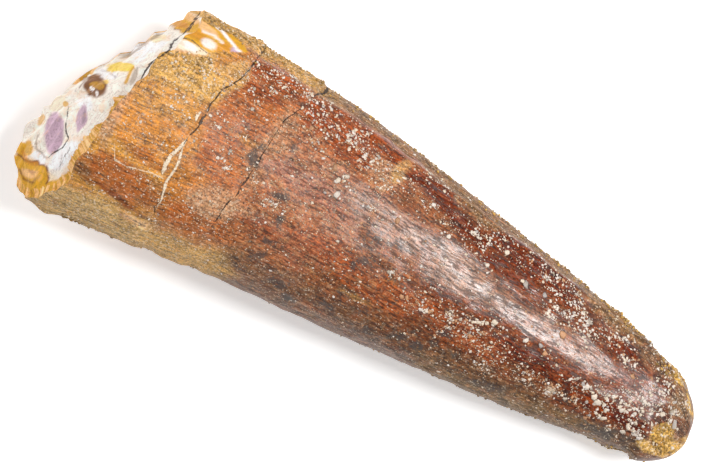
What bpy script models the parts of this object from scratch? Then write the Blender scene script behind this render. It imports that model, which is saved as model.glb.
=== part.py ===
"""A fossil spinosaur tooth crown, lying on its side on a small flat spot.

The crown is one solid. It runs along +X from its broken root to its worn, blunt tip, with the
origin under the middle of its box. Distances along the tooth are counted from the furthest corner
of the root, and angles run round it from +Y over the top.
"""

from itertools import product

import bmesh
import bpy
import numpy as np

MM = 0.001

# The crown: distance from the root, width, height, and how far its middle lies to +Y, in mm
STATIONS = (
    (0.0, 24.7, 20.6, 0.55),
    (12.6, 23.6, 19.9, 0.8),
    (19.8, 22.8, 19.1, 1.15),
    (25.2, 21.6, 18.3, 1.0),
    (36.0, 19.4, 16.6, 0.55),
    (46.8, 16.9, 14.6, 0.0),
    (57.6, 13.7, 12.2, -0.6),
    (67.5, 10.0, 9.2, -1.2),
)
LENGTH = 72.5
DOME_START = 67.5
DOME_SHIFT = -0.9
SECTION_POWER = 2.15

# The underside: the flat spot's middle and depth of wear, and how far the tip stands off
REST_MIDDLE = 27.0
REST_WEAR = 0.3
TIP_RISE = 1.25
TIP_REACH = 46.0

# The broken root: slanted facets as a distance at the origin and slopes along Y and Z
BREAK_FACETS = (
    (-3.4, -0.16, 0.49),
    (1.9, 0.53, 0.18),
    (-7.0, -0.8, 0.1),
)
BREAK_MIDDLE = (-1.2, 8.4)

# Flakes struck off: a point on the scar and the way the scar faces
FLAKES = (
    ((15.0, 10.8, 15.9), (-0.104, 0.736, 0.668)),
    ((69.5, 2.9, 4.5), (0.62, 0.76, 0.12)),
    ((71.2, -3.0, 7.4), (0.6, -0.12, 0.79)),
    ((3.2, -11.4, 13.5), (-0.66, -0.62, 0.42)),
    ((4.5, -6.0, 1.4), (-0.6, -0.3, -0.74)),
    ((63.0, -5.2, 1.7), (0.12, -0.6, -0.79)),
)

# Cutting edges: angle round the tooth, height, and width as an angle
KEELS = (
    (33.0, 0.34, 5.0),
    (201.0, 0.3, 5.0),
)

# Cracks right round the crown: where each crosses +Y, the top and -Y, and the step across it
CRACKS = (
    (17.0, 14.6, 15.2, 0.16),
    (24.6, 21.6, 20.4, 0.13),
)

# Lumps of cemented sand and pits: distance, angle, height, and radius
LUMPS = (
    (14.0, 30.0, 0.3, 2.0),
    (17.6, 12.0, 0.25, 1.6),
    (20.6, 20.0, 0.3, 1.5),
    (24.3, 18.0, -0.5, 0.9),
    (12.6, -38.0, 0.4, 2.6),
    (5.8, 178.0, 0.55, 1.3),
    (9.0, 200.0, 0.5, 2.2),
    (13.0, 212.0, 0.45, 3.0),
    (21.0, 222.0, 0.4, 3.2),
    (30.0, 318.0, 0.35, 3.4),
    (44.0, 240.0, 0.3, 2.6),
    (61.0, 12.0, 0.35, 1.4),
    (64.3, 25.0, 0.4, 1.3),
    (66.8, 40.0, 0.3, 1.2),
    (68.6, 160.0, 0.35, 1.3),
    (65.6, 190.0, 0.35, 1.6),
    (55.0, 330.0, 0.35, 2.2),
    (47.0, 62.0, -0.14, 1.6),
    (39.0, 118.0, -0.16, 2.1),
    (29.0, 140.0, -0.14, 2.2),
    (33.0, 70.0, 0.1, 3.0),
    (57.0, 120.0, -0.12, 1.6),
)

# Lumps and pits on the broken root: Y, Z, height towards the root, and radius
BREAK_LUMPS = (
    (1.6, 10.0, -1.3, 1.7),
    (-4.9, 6.7, -0.7, 1.8),
    (-1.6, 12.4, -0.6, 1.6),
    (4.1, 10.5, 0.5, 1.2),
    (-8.2, 9.6, 0.8, 1.3),
    (-10.2, 12.2, 0.7, 1.1),
    (-6.6, 12.8, 0.5, 1.0),
    (-2.6, 5.0, 0.7, 1.7),
    (5.6, 5.6, -0.6, 1.8),
    (8.2, 9.8, 0.5, 1.3),
    (1.2, 20.0, -1.5, 2.8),
    (4.8, 19.6, -0.7, 2.2),
    (7.8, 18.4, -0.6, 1.5),
    (-7.8, 17.6, -0.7, 2.3),
)
TERRACE = 1.5
TERRACE_DEPTH = 0.65
RIM_TEETH = 58
RIM_ROUGHNESS = 0.1

# Long swells along the enamel and the grain of the broken face
SWELL = 0.17
SWELL_LENGTH = 17.0
SWELL_WIDTH = 3.4
GRAIN = 0.1

# Facets round the tooth, and rings from one pole to the other
AROUND = 64
FACE_RINGS = 11
CROWN_RINGS = 42
TIP_RINGS = 8

COLOUR = (0.36, 0.13, 0.045, 1.0)
ROUGHNESS = 0.42


def lattice_noise(points, cell, seed):
    """Smooth noise from -1 to 1: hashed values on a cubic lattice, blended across each cell."""
    scaled = points / cell
    base = np.floor(scaled).astype(np.int64)
    frac = scaled - base
    ease = frac * frac * (3.0 - 2.0 * frac)
    total = np.zeros(points.shape[:-1])
    for corner in product((0, 1), repeat=3):
        key = (base + corner) * (73856093, 19349663, 83492791)
        value = (key[..., 0] ^ key[..., 1] ^ key[..., 2] ^ (seed * 97531)) & 0xFFFFFFFF
        value = ((value ^ (value >> 13)) * 1274126177) & 0xFFFFFFFF
        value = ((value ^ (value >> 16)) & 0xFFFF) / 32767.5 - 1.0
        total += value * np.prod(np.where(corner, ease, 1.0 - ease), axis=-1)
    return total


def station_curve(column, dist):
    """One column of the stations as a smooth curve along the tooth."""
    table = np.array(STATIONS)
    return np.polyval(np.polyfit(table[:, 0], table[:, column], 5), dist)


def section(dist):
    """Half width, half height, and the Y and Z of the middle, with the blunt dome of the tip."""
    held = np.minimum(dist, DOME_START)
    past = np.clip((dist - DOME_START) / (LENGTH - DOME_START), 0.0, 1.0)
    shrink = np.sqrt(1.0 - past * past)
    half_width = 0.5 * station_curve(1, held)
    half_height = 0.5 * station_curve(2, held)
    middle_y = station_curve(3, held) + DOME_SHIFT * past
    rise = TIP_RISE * ((held - REST_MIDDLE) / TIP_REACH) ** 2 - REST_WEAR
    return half_width * shrink, half_height * shrink, middle_y, half_height + rise


def around(angle):
    """The section's outline at an angle: a slightly squared ellipse of unit half axes."""
    cosine = np.cos(angle)
    sine = np.sin(angle)
    power = 2.0 / SECTION_POWER
    return np.sign(cosine) * np.abs(cosine) ** power, np.sign(sine) * np.abs(sine) ** power


def angle_gap(angle, degrees):
    """Degrees between an angle and a stated direction, the short way round."""
    return (np.degrees(angle) - degrees + 180.0) % 360.0 - 180.0


def crown_relief(dist, angle):
    """How far the worn enamel stands out from its smooth form, in mm."""
    half_width, half_height, _, _ = section(np.minimum(dist, DOME_START))
    across = np.stack([half_width * np.cos(angle), half_height * np.sin(angle)], axis=-1)
    cells = np.stack([dist / SWELL_LENGTH, across[..., 0] / SWELL_WIDTH, across[..., 1] / SWELL_WIDTH], -1)
    relief = SWELL * lattice_noise(cells, 1.0, 3) + 0.4 * SWELL * lattice_noise(cells * 2.3, 1.0, 4)
    keel_fade = np.clip((LENGTH - dist) / 9.0, 0.0, 1.0) * np.clip(dist / 14.0, 0.2, 1.0)
    for degrees, height, width in KEELS:
        relief += height * keel_fade * np.exp(-((angle_gap(angle, degrees) / width) ** 2))
    for side, top, other, step in CRACKS:
        line = np.where(
            np.cos(angle) > 0.0,
            top + (side - top) * np.cos(angle) ** 2,
            top + (other - top) * np.cos(angle) ** 2,
        )
        before = line - dist
        relief += step * np.clip(before / 0.6, -1.0, 1.0) * np.exp(-np.abs(before) / 3.0)
    for place, degrees, height, radius in LUMPS:
        gap = np.radians(angle_gap(angle, degrees)) * half_height
        relief += height * np.exp(-(((dist - place) ** 2 + gap**2) / radius**2))
    return relief


def break_distance(y, z):
    """Distance of the broken root at a place across it: the furthest facet, terraced and pitted."""
    dist = np.max([start + along_y * y + along_z * z for start, along_y, along_z in BREAK_FACETS], axis=0)
    flat = np.stack([np.zeros_like(y), y, z], axis=-1)
    band = dist / TERRACE + 0.8 * lattice_noise(flat, 4.5, 8)
    within = band - np.floor(band)
    off_middle = np.hypot(y - BREAK_MIDDLE[0], z - BREAK_MIDDLE[1])
    ledge = np.clip((within - 0.7) / 0.3, 0.0, 1.0) - within
    dist += TERRACE_DEPTH * ledge * (1.0 - np.exp(-((off_middle / 2.5) ** 2)))
    dist += 0.45 * lattice_noise(flat, 3.1, 5) + 0.15 * lattice_noise(flat, 1.6, 6)
    for place_y, place_z, height, radius in BREAK_LUMPS:
        dist -= height * np.exp(-((y - place_y) ** 2 + (z - place_z) ** 2) / radius**2)
    return dist


def rim_distance(angle):
    """Distance at which the crown's outline meets the broken root, found by repeated aim."""
    unit_y, unit_z = around(angle)
    dist = np.full_like(angle, 6.0)
    for _ in range(12):
        half_width, half_height, middle_y, middle_z = section(dist)
        y = middle_y + half_width * unit_y
        z = middle_z + half_height * unit_z
        dist = 0.5 * dist + 0.5 * break_distance(y, z)
    return dist + RIM_ROUGHNESS * np.sin(RIM_TEETH * angle * 0.5) * np.sin(7.0 * angle)


def strike_flakes(points):
    """Every point that stands beyond a scar is brought back onto it."""
    for place, facing in FLAKES:
        way = np.array(facing) / np.linalg.norm(facing)
        beyond = np.maximum((points - place) @ way, 0.0)
        points -= beyond[..., None] * way
    return points


def tooth_points(ring, angle):
    """Places in mm for ring numbers and angles, from the root's middle over the rim to the tip."""
    unit_y, unit_z = around(angle)
    rim = rim_distance(angle)
    last_crown = FACE_RINGS + CROWN_RINGS
    on_face = ring < FACE_RINGS
    down_crown = np.clip((ring - FACE_RINGS) / CROWN_RINGS, 0.0, 1.0)
    round_tip = np.clip((ring - last_crown) / TIP_RINGS, 0.0, 1.0)
    dist = rim + (DOME_START - rim) * down_crown
    dist += (LENGTH - DOME_START) * np.sin(0.5 * np.pi * round_tip)

    half_width, half_height, middle_y, middle_z = section(dist)
    relief = crown_relief(dist, angle) * np.cos(0.5 * np.pi * round_tip)
    y = middle_y + (half_width + relief) * unit_y
    z = middle_z + (half_height + relief) * unit_z

    share = np.clip(ring / FACE_RINGS, 0.0, 1.0) ** 0.9
    y = np.where(on_face, BREAK_MIDDLE[0] + (y - BREAK_MIDDLE[0]) * share, y)
    z = np.where(on_face, BREAK_MIDDLE[1] + (z - BREAK_MIDDLE[1]) * share, z)
    near_rim = np.clip((share - 0.8) / 0.2, 0.0, 1.0)
    face = break_distance(y, z)
    dist = np.where(on_face, face + (rim - face) * near_rim, dist)
    points = strike_flakes(np.stack([dist, y, z], axis=-1))
    grain = np.stack([lattice_noise(points, 1.4, seed) for seed in (21, 22, 23)], axis=-1)
    points += GRAIN * grain * np.clip(share[:, None] * 1.5, 0.0, 1.0)
    points[:, 2] = np.maximum(points[:, 2], 0.0)
    return points


def build_tooth():
    """Wrap a ball around the tooth: its poles become the root's middle and the tip."""
    rings = FACE_RINGS + CROWN_RINGS + TIP_RINGS
    ball = bmesh.new()
    bmesh.ops.create_uvsphere(ball, u_segments=AROUND, v_segments=rings, radius=1.0)
    ball.verts.ensure_lookup_table()
    spots = np.array([vert.co for vert in ball.verts])
    ring = np.round(np.arccos(np.clip(spots[:, 2], -1.0, 1.0)) / np.pi * rings)
    angle = np.arctan2(spots[:, 1], spots[:, 0])
    points = tooth_points(ring, angle)
    lowest, highest = points.min(axis=0), points.max(axis=0)
    points -= ((lowest[0] + highest[0]) / 2, (lowest[1] + highest[1]) / 2, 0.0)
    for vert, point in zip(ball.verts, points * MM):
        vert.co = point
    ball.normal_update()
    bmesh.ops.recalc_face_normals(ball, faces=ball.faces)
    mesh = bpy.data.meshes.new("tooth")
    ball.to_mesh(mesh)
    ball.free()
    mesh.shade_smooth()
    mesh.set_sharp_from_angle(angle=np.radians(50.0))
    tooth = bpy.data.objects.new("tooth", mesh)
    bpy.context.scene.collection.objects.link(tooth)
    return tooth


def fossil_material():
    """Brown fossil enamel, half glossy."""
    material = bpy.data.materials.new("fossil_enamel")
    material.use_nodes = True
    shader = material.node_tree.nodes["Principled BSDF"]
    shader.inputs["Base Color"].default_value = COLOUR
    shader.inputs["Roughness"].default_value = ROUGHNESS
    shader.inputs["Metallic"].default_value = 0.0
    return material


def main():
    """Clear the scene and build the tooth."""
    for old in list(bpy.data.objects):
        bpy.data.objects.remove(old)
    tooth = build_tooth()
    tooth.data.materials.append(fossil_material())


main()
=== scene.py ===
"""A fossil spinosaur tooth crown: its enamel, crust, cracks and broken root, on a pale floor.

The crown runs along +X from its broken root to its worn tip. Its form is worked out in
millimetres: a distance along the tooth and an angle round it, from +Y over the top. Marks on the
upper side are placed as they are seen from above, along and across the tooth.
"""

from itertools import product

import bpy
import numpy as np
from bpy.props import FloatProperty, FloatVectorProperty, IntProperty, PointerProperty
from bpy.types import Operator, Panel, PropertyGroup
from mathutils import Matrix


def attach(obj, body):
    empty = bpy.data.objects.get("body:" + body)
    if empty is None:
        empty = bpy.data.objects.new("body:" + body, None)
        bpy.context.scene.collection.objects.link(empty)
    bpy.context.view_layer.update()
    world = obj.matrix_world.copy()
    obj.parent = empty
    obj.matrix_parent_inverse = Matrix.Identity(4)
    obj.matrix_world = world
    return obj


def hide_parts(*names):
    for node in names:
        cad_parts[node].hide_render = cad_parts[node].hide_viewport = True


bl_info = {
    "name": "Fossil Tooth",
    "version": (1, 0, 0),
    "blender": (4, 5, 0),
    "location": "View3D > Sidebar > Fossil",
    "description": "Builds the looks of a fossil spinosaur tooth crown",
    "category": "Object",
}

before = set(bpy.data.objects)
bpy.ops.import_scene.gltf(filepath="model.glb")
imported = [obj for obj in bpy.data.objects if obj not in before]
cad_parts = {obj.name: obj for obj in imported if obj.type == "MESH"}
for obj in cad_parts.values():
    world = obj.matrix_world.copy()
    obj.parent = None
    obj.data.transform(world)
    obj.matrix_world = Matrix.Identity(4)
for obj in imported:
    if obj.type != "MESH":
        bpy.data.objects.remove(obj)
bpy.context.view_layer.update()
BODY = "root"
NODE = "tooth"
MM = 0.001

# The crown: distance from the root, width, height, and how far its middle lies to +Y, in mm
STATIONS = (
    (0.0, 24.7, 20.6, 0.55),
    (12.6, 23.6, 19.9, 0.8),
    (19.8, 22.8, 19.1, 1.15),
    (25.2, 21.6, 18.3, 1.0),
    (36.0, 19.4, 16.6, 0.55),
    (46.8, 16.9, 14.6, 0.0),
    (57.6, 13.7, 12.2, -0.6),
    (67.5, 10.0, 9.2, -1.2),
)
LENGTH = 72.5
DOME_START = 67.5
DOME_SHIFT = -0.9
SECTION_POWER = 2.15

# Where the object's origin lies along and across the tooth, and where its first corner shows
ORIGIN_ALONG = 36.1236
ORIGIN_ACROSS = 0.4338
FIRST_CORNER = 0.22

# The underside: the flat spot's middle and depth of wear, and how far the tip stands off
REST_MIDDLE = 27.0
REST_WEAR = 0.3
TIP_RISE = 1.25
TIP_REACH = 46.0

# The broken root: slanted facets as a distance at the origin and slopes along Y and Z
BREAK_FACETS = (
    (-3.4, -0.16, 0.49),
    (1.9, 0.53, 0.18),
    (-7.0, -0.8, 0.1),
)
BREAK_MIDDLE = (-1.2, 8.4)

# Flakes struck off: a point on the scar and the way the scar faces; the first is the root's scar
FLAKES = (
    ((15.0, 10.8, 15.9), (-0.104, 0.736, 0.668)),
    ((69.5, 2.9, 4.5), (0.62, 0.76, 0.12)),
    ((71.2, -3.0, 7.4), (0.6, -0.12, 0.79)),
    ((3.2, -11.4, 13.5), (-0.66, -0.62, 0.42)),
    ((4.5, -6.0, 1.4), (-0.6, -0.3, -0.74)),
    ((63.0, -5.2, 1.7), (0.12, -0.6, -0.79)),
)

# Cutting edges: angle round the tooth, height, and width as an angle
KEELS = (
    (33.0, 0.34, 5.0),
    (201.0, 0.3, 5.0),
)
KEEL_TIP_FADE = 9.0
KEEL_ROOT_FADE = 14.0

# Lumps of cemented sand and pits: distance, angle, height, and radius
LUMPS = (
    (14.0, 30.0, 0.3, 2.0),
    (17.6, 12.0, 0.25, 1.6),
    (20.6, 20.0, 0.3, 1.5),
    (24.3, 18.0, -0.5, 0.9),
    (12.6, -38.0, 0.4, 2.6),
    (5.8, 178.0, 0.55, 1.3),
    (9.0, 200.0, 0.5, 2.2),
    (13.0, 212.0, 0.45, 3.0),
    (21.0, 222.0, 0.4, 3.2),
    (30.0, 318.0, 0.35, 3.4),
    (44.0, 240.0, 0.3, 2.6),
    (61.0, 12.0, 0.35, 1.4),
    (64.3, 25.0, 0.4, 1.3),
    (66.8, 40.0, 0.3, 1.2),
    (68.6, 160.0, 0.35, 1.3),
    (65.6, 190.0, 0.35, 1.6),
    (55.0, 330.0, 0.35, 2.2),
    (47.0, 62.0, -0.14, 1.6),
    (39.0, 118.0, -0.16, 2.1),
    (29.0, 140.0, -0.14, 2.2),
    (33.0, 70.0, 0.1, 3.0),
    (57.0, 120.0, -0.12, 1.6),
)

# Lumps and pits on the broken root: Y, Z, height towards the root, and radius
BREAK_LUMPS = (
    (1.6, 10.0, -1.3, 1.7),
    (-4.9, 6.7, -0.7, 1.8),
    (-1.6, 12.4, -0.6, 1.6),
    (4.1, 10.5, 0.5, 1.2),
    (-8.2, 9.6, 0.8, 1.3),
    (-10.2, 12.2, 0.7, 1.1),
    (-6.6, 12.8, 0.5, 1.0),
    (-2.6, 5.0, 0.7, 1.7),
    (5.6, 5.6, -0.6, 1.8),
    (8.2, 9.8, 0.5, 1.3),
    (1.2, 20.0, -1.5, 2.8),
    (4.8, 19.6, -0.7, 2.2),
    (7.8, 18.4, -0.6, 1.5),
    (-7.8, 17.6, -0.7, 2.3),
)
TERRACE = 1.5
TERRACE_DEPTH = 0.65
TERRACE_REACH = 2.5
TERRACE_WAVER = (0.8, 4.5, 8)
RIM_TEETH = 58
RIM_WAVES = 7.0
RIM_ROUGHNESS = 0.1

# Long swells along the enamel and the grain of the broken face
SWELL = 0.17
SWELL_LENGTH = 17.0
SWELL_WIDTH = 3.4
GRAIN = 0.1
GRAIN_CELL = 1.4
GRAIN_SEEDS = (21, 22, 23)

# Noises by height, cell size in mm and seed: on the broken root, in the crust, and those that shake
# the places of the crown's patches, of the root's and scar's patches, and of the cracks
ROOT_NOISE = ((0.45, 3.1, 5), (0.15, 1.6, 6))
CRUST_NOISE = ((0.65, 0.75, 61), (0.35, 0.42, 62))
ALONG_SHAKE = ((1.1, 2.2, 41), (0.35, 0.7, 42))
ACROSS_SHAKE = ((0.3, 1.9, 43), (0.18, 0.6, 44))
FACE_SHAKE = ((0.16, 1.1, 51), (0.16, 1.1, 52))
SCAR_SHAKE = ((0.16, 1.1, 53), (0.1, 1.1, 54))
CRACK_WANDER = ((0.12, 0.8, 71), (0.05, 0.45, 72))

# The furrows' cells along the enamel and across it, the reach of the grooves at the cracks, and
# how high the cracks' filling stands
FURROW_CELL = (5.0, 0.8, 0.8)
GROOVE_REACH = 0.18
FILL_HEIGHT = 0.08

# How the pattern under the crown differs from the upper one: moved along, and narrowed
UNDER_SHIFT = 9.0
UNDER_NARROWING = 0.3

# Soft edges in mm: of a band's two ends, and of a stroke
BAND_SOFTNESS = 1.5
STROKE_SOFTNESS = 0.08

# How far from the root's rim and from the scar specks and grains are held, in mm, and the small
# turn by which the surface's own directions are found
RIM_CLEARANCE = 0.15
SCAR_CLEARANCE = 0.04
SMALL_TURN = 0.012

# The UV square: the rolled-out crown's margins and its height for each stage, and the corner and
# scale of the root laid flat
ROLL_SIDE = 0.01
ROLL_WIDTH = 0.98
ROLL_FOOT = 0.02
ROLL_STAGE = 0.34
LAID_CORNER = (0.15, 0.74)
LAID_SCALE = 100.0

# How high the enamel steps at each crack, over what length, and how far off the step dies away
CRACK_STEPS = (0.16, 0.13)
STEP_LENGTH = 0.6
STEP_REACH = 3.0

# Lines that run across the crown, as across, along, and half width of the line
FIRST_CRACK = (
    (-12.0, 15.3, 0.0), (-8.0, 15.1, 0.0), (-6.5, 14.9, 0.04), (-5.0, 14.85, 0.0), (-3.0, 14.75, 0.0),
    (-1.6, 14.8, 0.0), (-0.6, 14.45, 0.0), (1.0, 14.5, 0.06), (2.0, 14.7, 0.1), (2.7, 14.9, 0.14),
    (3.2, 14.9, 0.2), (3.6, 14.9, 0.08), (5.0, 14.95, 0.13), (6.0, 15.15, 0.08), (7.5, 15.7, 0.1),
    (8.5, 16.2, 0.09), (10.0, 16.75, 0.07), (12.0, 17.1, 0.08),
)
SECOND_CRACK = (
    (-12.0, 20.0, 0.02), (-6.0, 20.6, 0.0), (-4.7, 20.8, 0.09), (-4.0, 20.95, 0.02), (-3.0, 21.0, 0.12),
    (-2.2, 21.4, 0.0), (-1.5, 21.55, 0.08), (-0.8, 21.3, 0.02), (0.0, 21.5, 0.14), (0.5, 21.6, 0.1),
    (1.3, 21.7, 0.0), (2.2, 21.8, 0.12), (3.2, 21.8, 0.03), (5.0, 21.9, 0.03), (7.0, 22.1, 0.05),
    (9.0, 23.0, 0.04), (10.0, 23.4, 0.03), (10.6, 23.8, 0.16), (11.6, 24.2, 0.2), (13.0, 24.4, 0.1),
)
CRACK_FILL = (
    (-3.4, 14.0, 0.0), (-3.0, 13.9, 0.16), (-2.4, 13.8, 0.26), (-1.6, 13.9, 0.24), (-0.8, 14.1, 0.2),
    (0.0, 14.35, 0.24), (0.6, 14.45, 0.12), (1.2, 14.5, 0.0), (2.8, 14.4, 0.0), (3.3, 14.3, 0.26),
    (3.9, 14.3, 0.0), (9.0, 16.4, 0.0), (9.6, 16.6, 0.14), (10.6, 16.9, 0.0),
)
FILL_BRANCH = (
    (-7.2, 15.2, 0.0), (-6.0, 15.0, 0.04), (-5.0, 14.95, 0.13), (-4.2, 14.9, 0.17), (-3.3, 14.7, 0.15),
    (-2.4, 14.85, 0.12), (-1.4, 14.95, 0.16), (-0.6, 14.7, 0.14), (0.0, 14.5, 0.0),
)
# Lines that run along the crown and over the scar, as along, across, and half width of the line
PALE_VEIN = (
    (8.2, -2.6, 0.0), (8.7, -3.4, 0.11), (9.2, -4.2, 0.14), (10.4, -4.15, 0.09), (11.5, -3.9, 0.08),
    (12.8, -3.7, 0.09), (13.9, -3.6, 0.1), (14.6, -3.5, 0.0),
)
SCAR_VEIN = (
    (7.2, 9.8, 0.0), (7.7, 9.9, 0.09), (8.5, 9.25, 0.07), (9.4, 9.5, 0.08), (10.5, 9.7, 0.08),
    (11.6, 9.4, 0.09), (12.5, 9.3, 0.07), (13.4, 9.2, 0.0),
)
# Cracks of the broken root, as across, along, and half width of the line
FACE_CRACK = (
    (-7.4, 3.2, 0.0), (-7.0, 3.4, 0.07), (-5.6, 4.0, 0.09), (-4.7, 4.1, 0.1), (-3.5, 3.3, 0.09),
    (-2.2, 2.8, 0.05), (-1.6, 2.5, 0.0),
)
SIDE_CRACK = (
    (-8.2, 4.6, 0.0), (-6.6, 4.7, 0.08), (-5.2, 4.6, 0.06), (-4.8, 4.4, 0.0),
)
CORNER_CRACK = (
    (2.6, 8.1, 0.0), (3.9, 7.75, 0.04), (5.0, 7.75, 0.1), (5.6, 7.75, 0.16), (6.4, 8.1, 0.06),
    (7.6, 8.75, 0.13), (8.8, 8.8, 0.11), (9.5, 9.1, 0.06), (10.4, 9.5, 0.13), (11.2, 9.6, 0.12),
    (12.4, 9.75, 0.06),
)

# How sandy and how glossy each tone is
FINISH = {
    "amber_wood": (0.15, 0.3),
    "golden": (0.25, 0.25),
    "honey_sand": (0.85, 0.0),
    "olive_sand": (1.0, 0.0),
    "pink_sand": (0.6, 0.0),
    "rust": (0.05, 0.45),
    "orange_brown": (0.15, 0.4),
    "salmon": (0.25, 0.35),
    "mauve": (0.15, 0.5),
    "chestnut": (0.1, 0.6),
    # partly a greyish-pink tone, partly a painted sheen
    "grey_and_sheen": (0.05, 0.8),
    "amber_gloss": (0.0, 0.85),
    "mahogany": (0.0, 1.0),
    "red_gloss": (0.0, 1.0),
    "russet": (0.05, 0.9),
    "plum": (0.05, 0.9),
    "edge_tan": (0.3, 0.05),
    "grey_tan": (0.4, 0.1),
    "grey_mottle": (0.3, 0.3),
    "slate": (0.2, 0.4),
    "ochre_crust": (1.0, 0.0),
    "cream": (0.2, 0.4),
    "white": (0.1, 0.5),
    "peach": (0.1, 0.5),
    "lavender": (0.1, 0.6),
    "mustard": (0.25, 0.5),
    "crystal": (0.0, 1.0),
    "yellow": (0.1, 0.5),
    "dark": (0.1, 0.3),
}

# The crown's tone along it, before the zones
CROWN_RUN = (
    (5.0, "golden"),
    (14.0, "golden"),
    (16.5, "orange_brown"),
    (21.0, "orange_brown"),
    (24.0, "salmon"),
    (29.0, "salmon"),
    (34.0, "chestnut"),
    (39.0, "chestnut"),
    (44.0, "russet"),
    (61.0, "russet"),
    (67.0, "plum"),
    (73.0, "plum"),
)

# Bands beside the outline: tone, start, end, side, width, and strength
EDGE_BANDS = (
    ("olive_sand", 3.0, 24.0, -1, 2.8, 0.85),
    ("grey_mottle", 22.0, 58.0, -1, 3.4, 0.75),
    ("grey_tan", 44.0, 69.0, -1, 1.7, 0.85),
    ("honey_sand", 9.0, 26.0, 1, 1.2, 0.9),
    ("edge_tan", 24.0, 38.0, 1, 1.1, 0.9),
    ("edge_tan", 38.0, 70.0, 1, 1.7, 0.9),
)

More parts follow.
